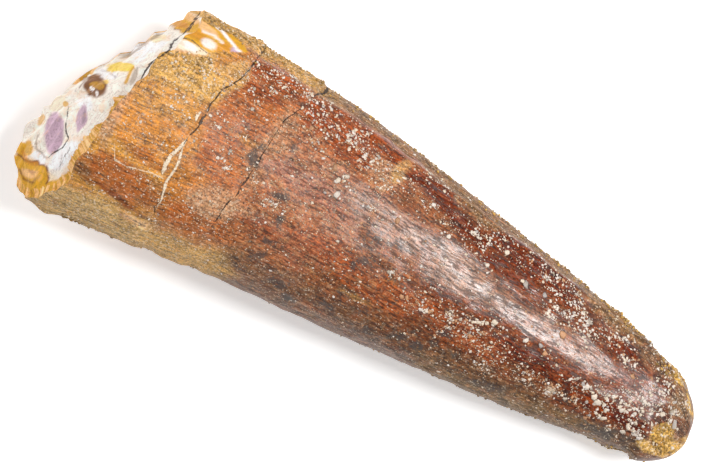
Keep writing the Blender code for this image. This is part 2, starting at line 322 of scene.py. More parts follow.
# Patches of the crown: tone, along, across, half length, half width, turn, and strength
CROWN_ZONES = (
    ("honey_sand", 10.5, 6.6, 4.6, 2.2, 0.0, 0.85),
    ("olive_sand", 12.5, 8.6, 2.0, 0.9, 0.0, 0.6),
    ("amber_wood", 11.3, 0.8, 4.2, 3.8, 0.0, 0.9),
    ("golden", 11.0, 2.8, 3.6, 1.4, 0.0, 0.6),
    ("pink_sand", 7.4, 0.0, 1.1, 3.4, 0.0, 0.75),
    ("rust", 10.5, -5.7, 4.6, 1.9, 0.0, 0.8),
    ("rust", 12.0, -2.6, 2.4, 0.8, 0.0, 0.5),
    ("dark", 6.8, -6.7, 0.55, 0.5, 0.0, 0.6),
    ("mahogany", 10.5, -7.35, 3.8, 0.32, -3.0, 0.7),
    ("mahogany", 15.2, -6.8, 0.8, 0.35, 0.0, 0.6),
    ("olive_sand", 9.0, -10.2, 5.5, 1.5, 4.0, 0.85),
    ("honey_sand", 19.5, -9.3, 5.0, 1.3, 3.0, 0.6),
    ("peach", 13.8, -8.4, 0.75, 0.35, 8.0, 0.8),
    ("orange_brown", 18.3, 6.4, 3.0, 3.0, 0.0, 0.8),
    ("amber_gloss", 18.6, 8.3, 2.4, 0.9, 0.0, 0.7),
    ("amber_gloss", 19.6, 10.2, 3.0, 0.75, -3.0, 0.8),
    ("honey_sand", 15.6, 8.0, 0.8, 2.6, -18.0, 0.75),
    ("amber_wood", 16.4, -3.0, 1.8, 2.2, 0.0, 0.6),
    ("pink_sand", 19.8, -3.4, 3.0, 1.7, 5.0, 0.85),
    ("pink_sand", 21.9, 3.2, 1.1, 5.0, -4.0, 0.5),
    ("golden", 20.0, 3.6, 1.1, 0.5, 0.0, 0.5),
    ("mauve", 27.5, 2.4, 5.0, 1.3, -4.0, 0.7),
    ("mauve", 28.5, -3.4, 5.0, 1.2, 0.0, 0.5),
    ("amber_gloss", 27.0, 9.2, 4.6, 1.0, -6.0, 0.85),
    ("amber_gloss", 24.4, 8.6, 1.4, 1.2, 0.0, 0.8),
    ("amber_gloss", 29.2, 7.2, 3.4, 1.0, -8.0, 0.85),
    ("amber_gloss", 33.6, 9.1, 3.6, 0.7, -7.0, 0.9),
    ("pink_sand", 33.6, 6.8, 2.2, 1.3, -5.0, 0.6),
    ("honey_sand", 35.2, 8.0, 0.8, 1.2, -15.0, 0.6),
    ("orange_brown", 33.0, 5.6, 2.0, 0.7, -5.0, 0.5),
    ("mahogany", 38.6, 7.9, 2.9, 0.55, -8.0, 0.95),
    ("mahogany", 40.2, 7.0, 3.6, 0.62, -12.0, 0.95),
    ("mahogany", 44.6, 5.4, 3.2, 0.75, -12.0, 0.9),
    ("mahogany", 49.8, 5.9, 4.4, 1.1, -9.0, 0.95),
    ("mahogany", 48.6, 4.3, 4.2, 0.7, -8.0, 0.7),
    ("red_gloss", 54.6, 5.1, 3.4, 0.8, -12.0, 0.8),
    ("edge_tan", 43.0, 7.9, 3.4, 0.55, -10.0, 0.8),
    ("edge_tan", 60.0, 4.9, 4.4, 0.7, -14.0, 0.8),
    # Painted sheen, partly a greyish-pink tone: the patches of this tone lie along the highlight's band
    ("grey_and_sheen", 35.5, 2.6, 4.6, 1.7, -3.0, 0.45),
    ("rust", 32.5, -2.4, 4.4, 1.3, -4.0, 0.7),
    ("rust", 37.8, -4.4, 4.6, 0.35, -3.0, 0.85),
    ("rust", 25.0, -3.6, 2.6, 0.7, 0.0, 0.5),
    ("rust", 40.6, -2.8, 3.6, 0.9, 5.0, 0.7),
    ("mauve", 29.4, -5.0, 1.8, 0.9, 0.0, 0.5),
    ("orange_brown", 32.6, -7.9, 1.0, 0.3, 6.0, 0.6),
    ("honey_sand", 36.0, -5.2, 1.6, 0.3, 4.0, 0.4),
    # painted sheen along the highlight's band, partly a greyish-pink tone
    ("grey_and_sheen", 44.0, 1.9, 6.5, 1.9, -5.0, 0.85),
    ("red_gloss", 53.6, -2.4, 5.2, 0.9, 4.0, 0.8),
    ("mahogany", 57.4, -2.9, 2.6, 0.45, 3.0, 0.85),
    ("red_gloss", 64.6, -3.0, 3.8, 0.9, 5.0, 0.95),
    ("amber_gloss", 62.6, -3.3, 1.3, 0.4, 0.0, 0.8),
    ("mahogany", 60.6, -3.6, 1.6, 0.45, 0.0, 0.7),
    ("rust", 48.0, -3.4, 4.0, 1.6, 4.0, 0.5),
    ("grey_mottle", 50.0, -6.0, 5.0, 0.9, 4.0, 0.6),
    ("cream", 57.6, -4.3, 0.8, 0.5, 0.0, 0.5),
    ("grey_tan", 61.6, -5.6, 3.4, 0.5, 7.0, 0.6),
    ("plum", 60.6, 3.1, 2.6, 0.7, -12.0, 0.7),
    ("red_gloss", 62.4, 3.3, 1.7, 0.6, -14.0, 0.75),
    ("mahogany", 62.9, 2.5, 1.5, 0.4, -8.0, 0.7),
    ("grey_mottle", 65.6, 3.0, 2.2, 0.9, -18.0, 0.6),
    ("plum", 67.0, 0.4, 2.0, 1.6, 0.0, 0.5),
    ("grey_mottle", 67.0, -5.4, 3.0, 0.8, 12.0, 0.9),
    ("grey_tan", 70.2, 0.6, 1.6, 1.4, -30.0, 0.7),
    ("ochre_crust", 71.4, -3.6, 0.5, 1.2, -8.0, 0.9),
    # painted sheen along the highlight's band, partly a greyish-pink tone
    ("grey_and_sheen", 56.0, 0.8, 6.0, 1.3, -4.0, 0.5),
    ("ochre_crust", 70.1, -3.2, 1.0, 1.7, -8.0, 1.0),
    ("ochre_crust", 69.0, -4.7, 0.9, 0.5, 14.0, 0.85),
    ("ochre_crust", 68.3, 2.9, 1.1, 0.4, -40.0, 1.0),
    ("ochre_crust", 70.4, 1.0, 1.4, 0.2, -42.0, 0.9),
    ("grey_mottle", 71.4, -1.6, 0.5, 1.2, 0.0, 0.6),
)

# Dark grey stains in the enamel: along, across, half length, half width, turn, and strength
STAINS = (
    (21.2, 2.4, 0.6, 0.75, 0.0, 0.7),
    (41.0, 3.2, 2.0, 0.8, -6.0, 0.4),
    (35.2, 0.8, 1.0, 0.45, 10.0, 0.5),
    (25.2, 0.15, 0.85, 0.35, 12.0, 0.85),
    (26.4, -2.2, 0.4, 0.55, 0.0, 0.7),
    (35.7, -1.5, 0.9, 0.4, 20.0, 0.8),
    (35.0, -2.6, 0.5, 0.7, -30.0, 0.6),
    (26.3, -4.5, 1.0, 0.35, 10.0, 0.6),
    (34.4, -7.2, 0.7, 0.6, 0.0, 0.6),
    (37.6, -6.0, 0.6, 0.5, 0.0, 0.55),
    (35.4, -5.7, 0.6, 0.4, 0.0, 0.5),
    (38.8, -7.5, 1.6, 0.45, 3.0, 0.5),
    (26.0, -5.9, 0.7, 0.5, 0.0, 0.5),
    (27.4, -6.8, 0.6, 0.35, 0.0, 0.5),
    (30.5, -8.3, 0.7, 0.4, 0.0, 0.5),
    (46.0, -4.4, 0.9, 0.35, 8.0, 0.6),
    (45.6, -5.6, 3.4, 0.3, 3.0, 0.4),
    (59.4, -4.4, 0.6, 0.4, 0.0, 0.7),
    (64.6, -5.2, 2.2, 0.5, 10.0, 0.7),
    (29.2, -7.6, 1.2, 0.5, 10.0, 0.7),
    (43.0, -6.6, 1.6, 0.4, 5.0, 0.6),
    (52.0, -6.6, 2.0, 0.4, 5.0, 0.5),
    (23.8, 5.0, 0.6, 0.3, 0.0, 0.5),
    (38.0, 1.2, 1.4, 0.4, -5.0, 0.5),
)

# Patches of the broken root, laid out as the crown's
FACE_ZONES = (
    ("mustard", 2.4, -10.2, 2.9, 2.1, 0.0, 1.0),
    ("mustard", 8.9, 10.9, 1.7, 1.0, 0.0, 1.0),
    ("peach", 8.9, 11.6, 1.3, 0.45, 0.0, 0.9),
    ("honey_sand", 9.6, 12.6, 1.6, 0.5, 0.0, 1.0),
    ("white", 6.6, 7.6, 1.9, 1.2, 40.0, 0.9),
    ("yellow", 7.3, 8.3, 0.9, 0.35, 40.0, 0.45),
    ("grey_tan", 5.2, 5.4, 0.8, 0.3, 48.0, 0.4),
    ("white", 6.3, 6.0, 0.8, 0.9, 30.0, 0.7),
    ("white", 4.4, 2.8, 1.1, 0.5, 12.0, 0.9),
    ("grey_tan", 7.0, 3.8, 0.3, 0.9, 0.0, 0.5),
    ("crystal", 4.05, 1.2, 1.12, 1.15, 0.0, 1.0),
    ("mustard", 4.2, 1.35, 0.7, 0.45, 20.0, 0.6),
    ("white", 3.95, 0.8, 0.24, 0.2, 0.0, 1.0),
    ("white", 4.6, 0.65, 0.2, 0.2, 0.0, 0.9),
    ("yellow", 4.7, 2.1, 0.3, 0.2, 0.0, 0.7),
    ("white", 3.9, -0.7, 1.0, 0.7, -20.0, 0.8),
    ("lavender", 4.35, -2.2, 0.5, 1.4, 14.0, 0.95),
    ("slate", 4.5, -2.0, 0.16, 0.7, 14.0, 0.35),
    ("lavender", 2.65, -4.8, 0.95, 2.1, 24.0, 1.0),
    ("cream", 1.6, -2.0, 0.6, 1.0, -20.0, 0.8),
    ("mustard", 0.95, -4.2, 0.28, 0.6, 0.0, 0.7),
    ("mustard", 2.35, -1.75, 0.25, 0.22, 0.0, 0.8),
    ("white", 4.6, -6.2, 0.9, 1.7, -14.0, 0.9),
    ("white", 3.0, -7.5, 1.5, 0.5, 4.0, 0.9),
    ("mustard", 1.0, -7.4, 0.6, 0.8, 0.0, 0.9),
    ("peach", 2.3, -9.3, 0.85, 0.6, 10.0, 0.8),
    ("mauve", 2.5, -9.1, 0.4, 0.25, 0.0, 0.6),
    ("cream", 4.6, -8.9, 0.5, 0.5, 0.0, 0.9),
    ("olive_sand", 4.0, -11.2, 1.6, 0.5, 0.0, 0.8),
    ("amber_wood", 8.5, 10.5, 0.9, 0.3, 10.0, 0.7),
)
# Strokes over them: tone, half width, strength, and the points along each
FACE_STROKES = (
    ("mustard", 0.4, 1.0, ((0.4, -7.4), (0.8, -8.6), (1.6, -8.9), (2.6, -8.4), (3.5, -8.5),
                           (3.95, -9.3), (3.5, -10.3), (2.4, -11.0))),
    ("mustard", 0.42, 1.0, ((5.9, -7.9), (5.2, -9.0), (4.4, -10.0), (3.3, -10.5))),
    ("mustard", 0.5, 1.0, ((0.4, -9.0), (1.4, -10.1), (2.4, -11.0), (3.8, -11.6))),
    ("mahogany", 0.09, 0.9, ((0.4, -8.3), (1.4, -8.55), (2.5, -8.05), (3.6, -8.1), (4.3, -9.0), (4.3, -9.6))),
    ("mahogany", 0.08, 0.8, ((1.3, -9.6), (2.2, -10.2), (3.1, -10.1), (3.3, -9.4))),
    ("amber_wood", 0.16, 0.7, ((0.7, -7.9), (1.6, -8.5), (2.7, -8.2))),
    ("yellow", 0.42, 0.95, ((4.6, 3.5), (5.3, 4.0), (6.2, 4.4))),
    ("mustard", 0.18, 0.9, ((6.5, 4.5), (6.4, 3.6), (6.5, 2.9))),
    ("crystal", 0.07, 0.8, ((2.95, 2.9), (2.75, 1.6), (2.8, 0.3))),
    ("slate", 0.06, 0.5, ((3.7, 2.9), (4.6, 3.1), (5.4, 2.9))),
    ("grey_tan", 0.12, 0.6, ((5.3, 5.2), (6.2, 6.8), (7.4, 8.9))),
    ("slate", 0.05, 0.5, ((4.3, -6.3), (4.7, -7.7), (4.1, -8.1))),
    ("grey_tan", 0.1, 0.6, ((1.3, -5.8), (1.9, -7.0), (3.2, -7.3))),
    ("mahogany", 0.06, 0.8, ((7.4, 9.9), (8.0, 10.0), (8.7, 9.95))),
)
# Width of the serrated fibrous band inside the root's rim, by place across
RIM_BAND = (
    (-12.0, 0.9), (-9.5, 0.9), (-8.5, 1.2), (-7.0, 1.4), (-4.3, 2.0), (-2.2, 1.8), (-1.4, 0.5), (-0.4, 1.4),
    (1.2, 2.1), (2.3, 1.3), (2.9, 0.2), (12.0, 0.15),
)
CRYSTAL_SPOT = (4.05, 1.2, 1.15, 1.15)

# Patches of the root's scar, laid out as the crown's
SCAR_ZONES = (
    ("peach", 10.9, 11.4, 1.6, 0.4, -6.0, 0.9),
    ("amber_wood", 10.4, 10.4, 1.3, 0.4, 4.0, 0.6),
    ("white", 12.0, 10.15, 0.9, 0.45, 0.0, 0.8),
    ("amber_wood", 13.6, 10.2, 0.7, 0.9, 0.0, 0.6),
    ("lavender", 14.6, 10.7, 0.45, 0.36, 0.0, 1.0),
    ("cream", 10.7, 8.9, 2.1, 0.55, 4.0, 0.95),
    ("white", 10.2, 9.0, 1.0, 0.4, 4.0, 0.8),
    ("cream", 9.4, 8.5, 0.6, 0.7, 0.0, 0.8),
    ("peach", 8.7, 11.2, 0.9, 0.5, 0.0, 0.9),
    ("mustard", 8.4, 10.5, 0.9, 0.35, 10.0, 0.9),
)
SCAR_STROKES = (
    ("white", 0.13, 1.0, ((10.2, 12.4), (12.4, 11.9), (14.0, 11.3), (15.2, 10.9))),
    ("peach", 0.16, 0.9, ((9.2, 8.0), (11.0, 8.4), (13.4, 9.1))),
    ("salmon", 0.07, 0.7, ((9.6, 8.1), (11.4, 8.6), (13.4, 9.2))),
    ("white", 0.12, 0.8, ((11.0, 11.0), (12.0, 11.2), (13.2, 10.9))),
    ("mahogany", 0.05, 0.6, ((7.6, 9.95), (8.2, 9.95), (8.8, 9.9))),
)

# Clusters of mineral specks: along, across, half length, half width, turn, count, smallest and
# largest size, and share of tan ones
SPECK_CLUSTERS = (
    (20.0, 10.2, 3.2, 1.0, -3.0, 146, 0.11, 0.29, 0.1),
    (26.6, 9.2, 3.6, 1.1, -6.0, 127, 0.13, 0.34, 0.1),
    (30.2, 7.9, 2.6, 1.0, -8.0, 68, 0.14, 0.36, 0.2),
    (33.4, 6.9, 2.6, 1.5, -6.0, 146, 0.13, 0.34, 0.5),
    (28.6, 8.8, 0.7, 0.4, -10.0, 26, 0.15, 0.40, 0.0),
    (17.9, 3.0, 1.7, 2.6, 0.0, 26, 0.15, 0.42, 0.1),
    (18.9, 0.3, 0.7, 0.25, 0.0, 8, 0.18, 0.40, 0.0),
    (22.1, 0.4, 0.4, 0.5, 30.0, 7, 0.15, 0.31, 0.1),
    (17.6, 7.2, 1.2, 1.6, 0.0, 19, 0.14, 0.36, 0.3),
    (25.4, 7.4, 1.2, 0.8, -10.0, 26, 0.15, 0.38, 0.6),
    (24.8, -0.9, 1.4, 0.5, 0.0, 26, 0.13, 0.29, 0.3),
    (29.0, 4.3, 1.8, 1.0, -20.0, 19, 0.15, 0.40, 0.2),
    (38.6, 8.5, 2.2, 0.3, -10.0, 39, 0.13, 0.31, 0.2),
    (34.2, 4.6, 0.35, 1.8, -10.0, 22, 0.14, 0.34, 0.3),
    (42.0, 5.6, 4.0, 0.9, -12.0, 58, 0.11, 0.29, 0.2),
    (44.6, 5.6, 1.0, 0.32, -30.0, 32, 0.15, 0.38, 0.0),
    (45.4, 6.2, 1.4, 0.5, -10.0, 26, 0.13, 0.31, 0.1),
    (50.6, 6.0, 4.0, 0.8, -9.0, 107, 0.09, 0.29, 0.2),
    (54.4, 4.9, 2.4, 0.8, -12.0, 78, 0.13, 0.34, 0.1),
    (54.8, 2.8, 2.2, 0.6, -6.0, 58, 0.14, 0.38, 0.05),
    (57.0, 3.5, 1.4, 0.6, -10.0, 45, 0.17, 0.42, 0.0),
    (58.6, 2.6, 1.2, 0.8, -10.0, 32, 0.15, 0.38, 0.0),
    (61.8, 3.0, 2.0, 0.9, -14.0, 68, 0.13, 0.34, 0.1),
    (66.4, 3.3, 2.4, 0.6, -22.0, 58, 0.09, 0.29, 0.3),
    (48.0, -2.6, 2.6, 1.1, 3.0, 107, 0.13, 0.36, 0.2),
    (42.4, -3.0, 1.6, 0.5, 5.0, 32, 0.15, 0.38, 0.3),
    (44.2, -2.4, 2.6, 0.9, 5.0, 39, 0.11, 0.29, 0.1),
    (39.6, -1.2, 1.6, 0.3, 0.0, 16, 0.15, 0.34, 0.2),
    (49.4, -1.6, 1.2, 0.8, 0.0, 26, 0.15, 0.40, 0.0),
    (51.0, -5.1, 1.0, 0.6, 0.0, 45, 0.11, 0.26, 0.3),
    (46.2, -4.0, 1.0, 0.4, 10.0, 30, 0.11, 0.27, 0.4),
    (52.6, -3.4, 3.6, 1.2, 3.0, 68, 0.09, 0.24, 0.2),
    (54.6, -4.6, 1.2, 0.6, 0.0, 26, 0.11, 0.26, 0.3),
    (57.8, -4.2, 1.0, 0.6, 0.0, 58, 0.11, 0.29, 0.4),
    (60.6, -4.2, 1.4, 0.4, 0.0, 26, 0.13, 0.31, 0.4),
    (60.0, -2.4, 1.6, 0.5, 0.0, 26, 0.17, 0.42, 0.0),
    (63.6, -2.6, 2.8, 1.1, 4.0, 68, 0.15, 0.44, 0.05),
    (67.0, -2.6, 1.4, 1.6, 0.0, 68, 0.14, 0.40, 0.05),
    (65.0, -4.2, 2.6, 0.6, 8.0, 35, 0.15, 0.40, 0.2),
    (67.6, 0.2, 2.6, 1.5, 0.0, 146, 0.11, 0.34, 0.05),
    (70.4, -0.4, 1.0, 1.2, 0.0, 58, 0.11, 0.36, 0.05),
    (65.6, -0.8, 1.6, 0.4, 0.0, 39, 0.11, 0.27, 0.0),
    (63.6, 1.6, 0.6, 0.4, 0.0, 19, 0.14, 0.33, 0.1),
    (11.6, 5.2, 3.6, 3.0, 0.0, 58, 0.08, 0.22, 0.2),
    (10.6, -0.4, 3.4, 3.4, 0.0, 49, 0.08, 0.22, 0.3),
    (13.6, 7.6, 1.2, 0.8, 0.0, 30, 0.13, 0.29, 0.1),
    (16.2, 8.6, 0.5, 1.8, -18.0, 39, 0.11, 0.27, 0.5),
    (10.6, -5.6, 4.0, 1.8, 0.0, 39, 0.08, 0.22, 0.2),
    (18.6, -6.8, 4.6, 2.6, 0.0, 58, 0.08, 0.22, 0.3),
)
# Single crumbs: along, across, size, and whether it is tan
SINGLE_CRUMBS = (
    (39.0, 6.6, 0.5, 0), (46.5, 3.9, 0.5, 0), (56.3, 1.1, 0.6, 1), (55.6, -1.3, 0.6, 1),
    (64.3, 0.75, 0.6, 1), (50.7, 3.9, 0.6, 0), (50.3, 4.0, 0.5, 0), (30.2, 3.0, 0.75, 0),
    (28.7, 5.1, 0.5, 1), (29.5, 4.2, 0.6, 0), (28.2, 4.0, 0.4, 1), (25.4, 6.4, 0.5, 1),
    (25.1, 6.5, 0.4, 1), (24.8, 7.6, 0.5, 1), (54.9, -0.8, 0.55, 0), (53.4, -0.9, 0.5, 0),
    (49.7, -0.8, 0.6, 0), (47.6, 5.7, 0.6, 0), (36.6, 3.4, 0.55, 1), (41.8, 4.4, 0.5, 0),
    (26.9, 6.0, 0.35, 0), (27.2, 5.4, 0.35, 0), (40.4, -2.9, 0.4, 1), (52.9, 3.9, 0.45, 0),
    (70.6, -1.5, 0.75, 0), (69.0, -1.2, 0.5, 0), (61.9, -2.7, 0.6, 0), (60.8, -2.2, 0.65, 0),
    (62.5, -3.1, 0.65, 0), (64.9, -2.6, 0.6, 0), (63.6, -4.2, 0.6, 0), (66.0, -4.4, 0.45, 0),
    (66.2, -2.3, 0.55, 0), (62.0, -5.0, 0.5, 1), (71.3, -3.6, 0.4, 0),
)
# Specks strewn over the crown: from, to, and how many
SCATTER = (8.0, 69.0, 900)
# Specks repeated under the crown: their share, how far they drift along it, and its spread
UNDER_SHARE = 0.45
UNDER_DRIFT = (-5.0, 1.5)
SPECK_SEED = 11
# A cluster's clumps: how far out they lie, and a clump's spread along and across in mm
CLUMP_REACH = 1.15
CLUMP_SPREAD = (0.22, 0.14)
# Share of the specks that are greyed, and what that does to their colour
GREYED_SHARE = 0.15
GREYED = (0.62, 0.62, 0.64)

# Places where loose sand is cemented on: along, angle, half length, half angle, count, and how
# golden the grains are
SAND_BEDS = (
    (12.0, 22.0, 5.0, 14.0, 420, 0.55),
    (19.5, 14.0, 5.0, 16.0, 260, 0.5),
    (34.0, 8.0, 12.0, 14.0, 150, 0.35),
    (52.0, 8.0, 12.0, 14.0, 140, 0.35),
    (61.6, 12.0, 3.4, 16.0, 160, 0.7),
    (67.6, 26.0, 1.8, 22.0, 160, 0.9),
    (8.0, 196.0, 4.6, 24.0, 500, 0.6),
    (14.0, 206.0, 6.0, 22.0, 340, 0.5),
    (24.0, 203.0, 7.0, 18.0, 220, 0.4),
    (40.0, 198.0, 12.0, 16.0, 180, 0.3),
    (58.0, 196.0, 9.0, 18.0, 200, 0.4),
    (67.0, 196.0, 2.6, 26.0, 160, 0.8),
    (11.0, 58.0, 3.0, 12.0, 120, 0.6),
    (14.6, 310.0, 7.0, 40.0, 360, 0.6),
    (34.0, 318.0, 12.0, 34.0, 260, 0.4),
    (56.0, 330.0, 9.0, 34.0, 200, 0.4),
)
# The ochre crust on the tip: along, across, half length, half width, and count
TIP_CRUST = (70.1, -3.2, 1.0, 1.6, 260)
SAND_SEED = 12
# Sand grains: the smallest in mm and how much the largest adds, and the share of pale ones
SAND_SIZE = (0.12, 0.24)
PALE_SAND = 0.12
# The power that leaves few of the specks and grains large
FEW_LARGE = 2.4

# Camera, in mm and degrees: what the middle of the view looks at, how far off, and the width seen
VIEW_MIDDLE = (-2.38, -0.3, 9.5)
VIEW_DISTANCE = 450.0
VIEW_WIDTH = 69.82
VIEW_TURN = 27.99
SENSOR = 36.0

# The floor: half its side in metres, and cells along a side
FLOOR_HALF = 1.0
FLOOR_CELLS = 20

# Softboxes: setting, name, degrees of lean towards +X and +Y, distance, length and width in metres
SOFTBOXES = (
    ("key", "key_softbox", 26.0, 15.5, 0.6, 0.19, 0.15),
    ("root", "root_softbox", -56.0, 8.0, 0.8, 0.5, 0.5),
    ("side", "tip_softbox", 58.0, 12.0, 0.8, 0.4, 0.4),
)


def linear(colour):
    """Screen values of a colour as linear light: the usual screen curve undone."""
    value = np.array(colour, dtype=float)
    return tuple(np.where(value <= 0.04045, value / 12.92, ((value + 0.055) / 1.055) ** 2.4))


def tone(name, description, colour):
    """A colour property, given in screen values."""
    return FloatVectorProperty(
        name=name, description=description, default=linear(colour), min=0.0, max=1.0, subtype="COLOR"
    )


class FossilTones(PropertyGroup):
    """Colours of the enamel, the crust and the broken root."""

    amber_wood: tone("Amber wood", "Golden enamel with a wood-like grain", (0.78, 0.48, 0.09))
    golden: tone("Golden", "Enamel near the root", (0.76, 0.53, 0.18))
    honey_sand: tone("Honey sand", "Sandy crust near the root", (0.82, 0.63, 0.34))
    olive_sand: tone("Olive sand", "Greenish sand beside the edges", (0.76, 0.61, 0.38))
    pink_sand: tone("Pink sand", "Pale dusty patches", (0.73, 0.54, 0.39))
    rust: tone("Rust", "Red-brown enamel", (0.61, 0.27, 0.05))
    orange_brown: tone("Orange brown", "Enamel past the first crack", (0.67, 0.35, 0.09))
    salmon: tone("Salmon", "Crown past the second crack", (0.62, 0.35, 0.18))
    mauve: tone("Mauve", "Purplish sheen", (0.55, 0.31, 0.22))
    # Partly a greyish-pink tone and partly a painted sheen: it lightens the crown where the softbox's
    # highlight falls
    grey_and_sheen: tone("Veil", "Greyish sheen over the middle", (0.6, 0.45, 0.37))
    chestnut: tone("Chestnut", "Middle of the crown", (0.53, 0.28, 0.12))
    amber_gloss: tone("Amber gloss", "Clear orange-brown enamel", (0.56, 0.22, 0.0))
    mahogany: tone("Mahogany", "Deepest glossy enamel", (0.41, 0.13, 0.0))
    red_gloss: tone("Red gloss", "Glossy red-brown enamel", (0.38, 0.1, 0.0))
    russet: tone("Russet", "Crown towards the tip", (0.45, 0.2, 0.06))
    plum: tone("Plum", "Purple-brown of the tip", (0.4, 0.18, 0.09))
    edge_tan: tone("Edge tan", "Dull brown beside the upper edge", (0.47, 0.31, 0.13))
    grey_tan: tone("Grey tan", "Dull grey-brown", (0.45, 0.33, 0.17))
    grey_mottle: tone("Grey mottle", "Brown and grey mixed", (0.36, 0.21, 0.05))
    slate: tone("Slate", "Dark grey stains", (0.24, 0.21, 0.2))
    ochre_crust: tone("Ochre crust", "Yellow sandstone on the tip", (0.83, 0.65, 0.32))
    cream: tone("Cream", "Cream mineral", (0.93, 0.85, 0.74))
    white: tone("White", "White mineral", (0.97, 0.94, 0.94))
    peach: tone("Peach", "Pinkish orange mineral", (0.94, 0.73, 0.5))
    lavender: tone("Lavender", "Pale violet mineral", (0.77, 0.64, 0.71))
    mustard: tone("Mustard", "Yellow-brown mineral", (0.84, 0.61, 0.06))
    crystal: tone("Crystal", "Amber crystal", (0.46, 0.25, 0.0))
    yellow: tone("Yellow", "Clear yellow mineral", (0.98, 0.8, 0.28))
    dark: tone("Dark", "Cracks and deep pits", (0.15, 0.09, 0.05))


def amount(name, description, default, least=0.0):
    """A number that a user can change."""
    return FloatProperty(name=name, description=description, default=default, min=least)


class FossilSizes(PropertyGroup):
    """Sizes of the surface's fine forms."""

    around: IntProperty(name="Around", description="Points round the crown", default=240, min=32)
    face_rows: IntProperty(name="Root rows", description="Rows on the broken root", default=76, min=8)
    crown_rows: IntProperty(name="Crown rows", description="Rows along the crown", default=300, min=32)
    tip_rows: IntProperty(name="Tip rows", description="Rows on the tip", default=30, min=6)
    crust_height: amount("Crust height", "How far the sandy crust stands up, in mm", 0.13)
    furrow_depth: amount("Furrow depth", "Depth of the furrows along the enamel, in mm", 0.03)
    groove_depth: amount("Groove depth", "Depth of the cracks across the crown, in mm", 0.1)
    wrinkle_height: amount("Wrinkle height", "Height of the finest wrinkles, in mm", 0.03)
    wrinkle_across: amount("Wrinkle spacing", "Spacing of the wrinkles across the crown, in mm", 0.28, 0.05)
    wrinkle_along: amount("Wrinkle length", "Length of a wrinkle along the crown, in mm", 1.2, 0.1)
    sand_size: amount("Sand size", "Size of a grain in the crust, in mm", 0.2, 0.05)


class StudioSettings(PropertyGroup):
    """Brightness of the studio."""

    fill: amount("Fill", "Light from all round", 0.16)
    key: amount("Key", "Brightness of the softbox above", 36.0)
    root: amount("Root", "Brightness of the softbox past the root", 4.3)
    side: amount("Tip", "Brightness of the softbox past the tip", 1.4)
    glow: amount("Glow", "Light that the floor gives off", 0.4)
    floor: FloatVectorProperty(
        name="Floor", description="Colour of the floor", default=(0.9, 0.9, 0.9), min=0.0, max=1.0,
        subtype="COLOR",
    )


def smooth(low, high, value):
    """0 below low, 1 above high and an s-shaped rise between them; high below low turns it round."""
    share = np.clip((value - low) / (high - low), 0.0, 1.0)
    return share * share * (3.0 - 2.0 * share)


def lattice_noise(points, cell, seed):
    """Smooth noise from -1 to 1: hashed values on a cubic lattice, blended across each cell."""
    scaled = points / cell
    base = np.floor(scaled).astype(np.int64)
    frac = scaled - base
    ease = frac * frac * (3.0 - 2.0 * frac)
    total = np.zeros(points.shape[:-1])
    for corner in product((0, 1), repeat=3):
        key = (base + corner) * (73856093, 19349663, 83492791)
        value = (key[..., 0] ^ key[..., 1] ^ key[..., 2] ^ (seed * 97531)) & 0xFFFFFFFF
        value = ((value ^ (value >> 13)) * 1274126177) & 0xFFFFFFFF
        value = ((value ^ (value >> 16)) & 0xFFFF) / 32767.5 - 1.0
        total += value * np.prod(np.where(corner, ease, 1.0 - ease), axis=-1)
    return total


def noises(points, *rows):
    """Lattice noises added up: each row is a height, a cell size and a seed."""
    return sum(height * lattice_noise(points, cell, seed) for height, cell, seed in rows)


def station_curve(column, dist):
    """One column of the stations as a smooth curve: the fifth power polynomial nearest to it."""
    table = np.array(STATIONS)
    return np.polyval(np.polyfit(table[:, 0], table[:, column], 5), dist)


def section(dist):
    """Half width, half height, and the Y and Z of the middle. Past the dome's start the half axes
    shrink as the square root of one less the square of the share passed."""
    held = np.minimum(dist, DOME_START)
    past = np.clip((dist - DOME_START) / (LENGTH - DOME_START), 0.0, 1.0)
    shrink = np.sqrt(1.0 - past * past)
    half_width = 0.5 * station_curve(1, held)
    half_height = 0.5 * station_curve(2, held)
    middle_y = station_curve(3, held) + DOME_SHIFT * past
    rise = TIP_RISE * ((held - REST_MIDDLE) / TIP_REACH) ** 2 - REST_WEAR
    return half_width * shrink, half_height * shrink, middle_y, half_height + rise


def around(angle):
    """The section's outline at an angle: a slightly squared ellipse of unit half axes, the cosine
    and sine each raised to two over the section's power."""
    cosine = np.cos(angle)
    sine = np.sin(angle)
    power = 2.0 / SECTION_POWER
    return np.sign(cosine) * np.abs(cosine) ** power, np.sign(sine) * np.abs(sine) ** power


def angle_gap(angle, degrees):
    """Degrees between an angle and a stated direction, the short way round."""
    return (np.degrees(angle) - degrees + 180.0) % 360.0 - 180.0


def line_gap(line, run, rise):
    """How far rise lies past a line's own rise at run, and the line's half width there."""
    runs, rises, widths = np.array(line).T
    return rise - np.interp(run, runs, rises), np.interp(run, runs, widths)


def as_pictured(along, across, height):
    """Along and across as the camera shows them: places nearer to it lie further from the middle of
    the view, as its distance over its distance less their height above that middle."""
    closer = VIEW_DISTANCE / (VIEW_DISTANCE + VIEW_MIDDLE[2] - height)
    middle_along = ORIGIN_ALONG + VIEW_MIDDLE[0]
    middle_across = ORIGIN_ACROSS + VIEW_MIDDLE[1]
    shown_along = middle_along + (along - middle_along) * closer
    return shown_along - FIRST_CORNER, middle_across + (across - middle_across) * closer


def seen_from_above(dist, angle):
    """Along and across as the upper side shows them. Under the crown the pattern is the upper one
    mirrored, and drifts along and across it with the depth below the widest line."""
    half_width, half_height, middle_y, middle_z = section(dist)
    unit_y, unit_z = around(angle)
    along, across = as_pictured(dist, middle_y + half_width * unit_y, middle_z + half_height * unit_z)
    under = np.clip(-np.sin(angle), 0.0, 1.0)
    return along + UNDER_SHIFT * under, across * (1.0 - UNDER_NARROWING * under)


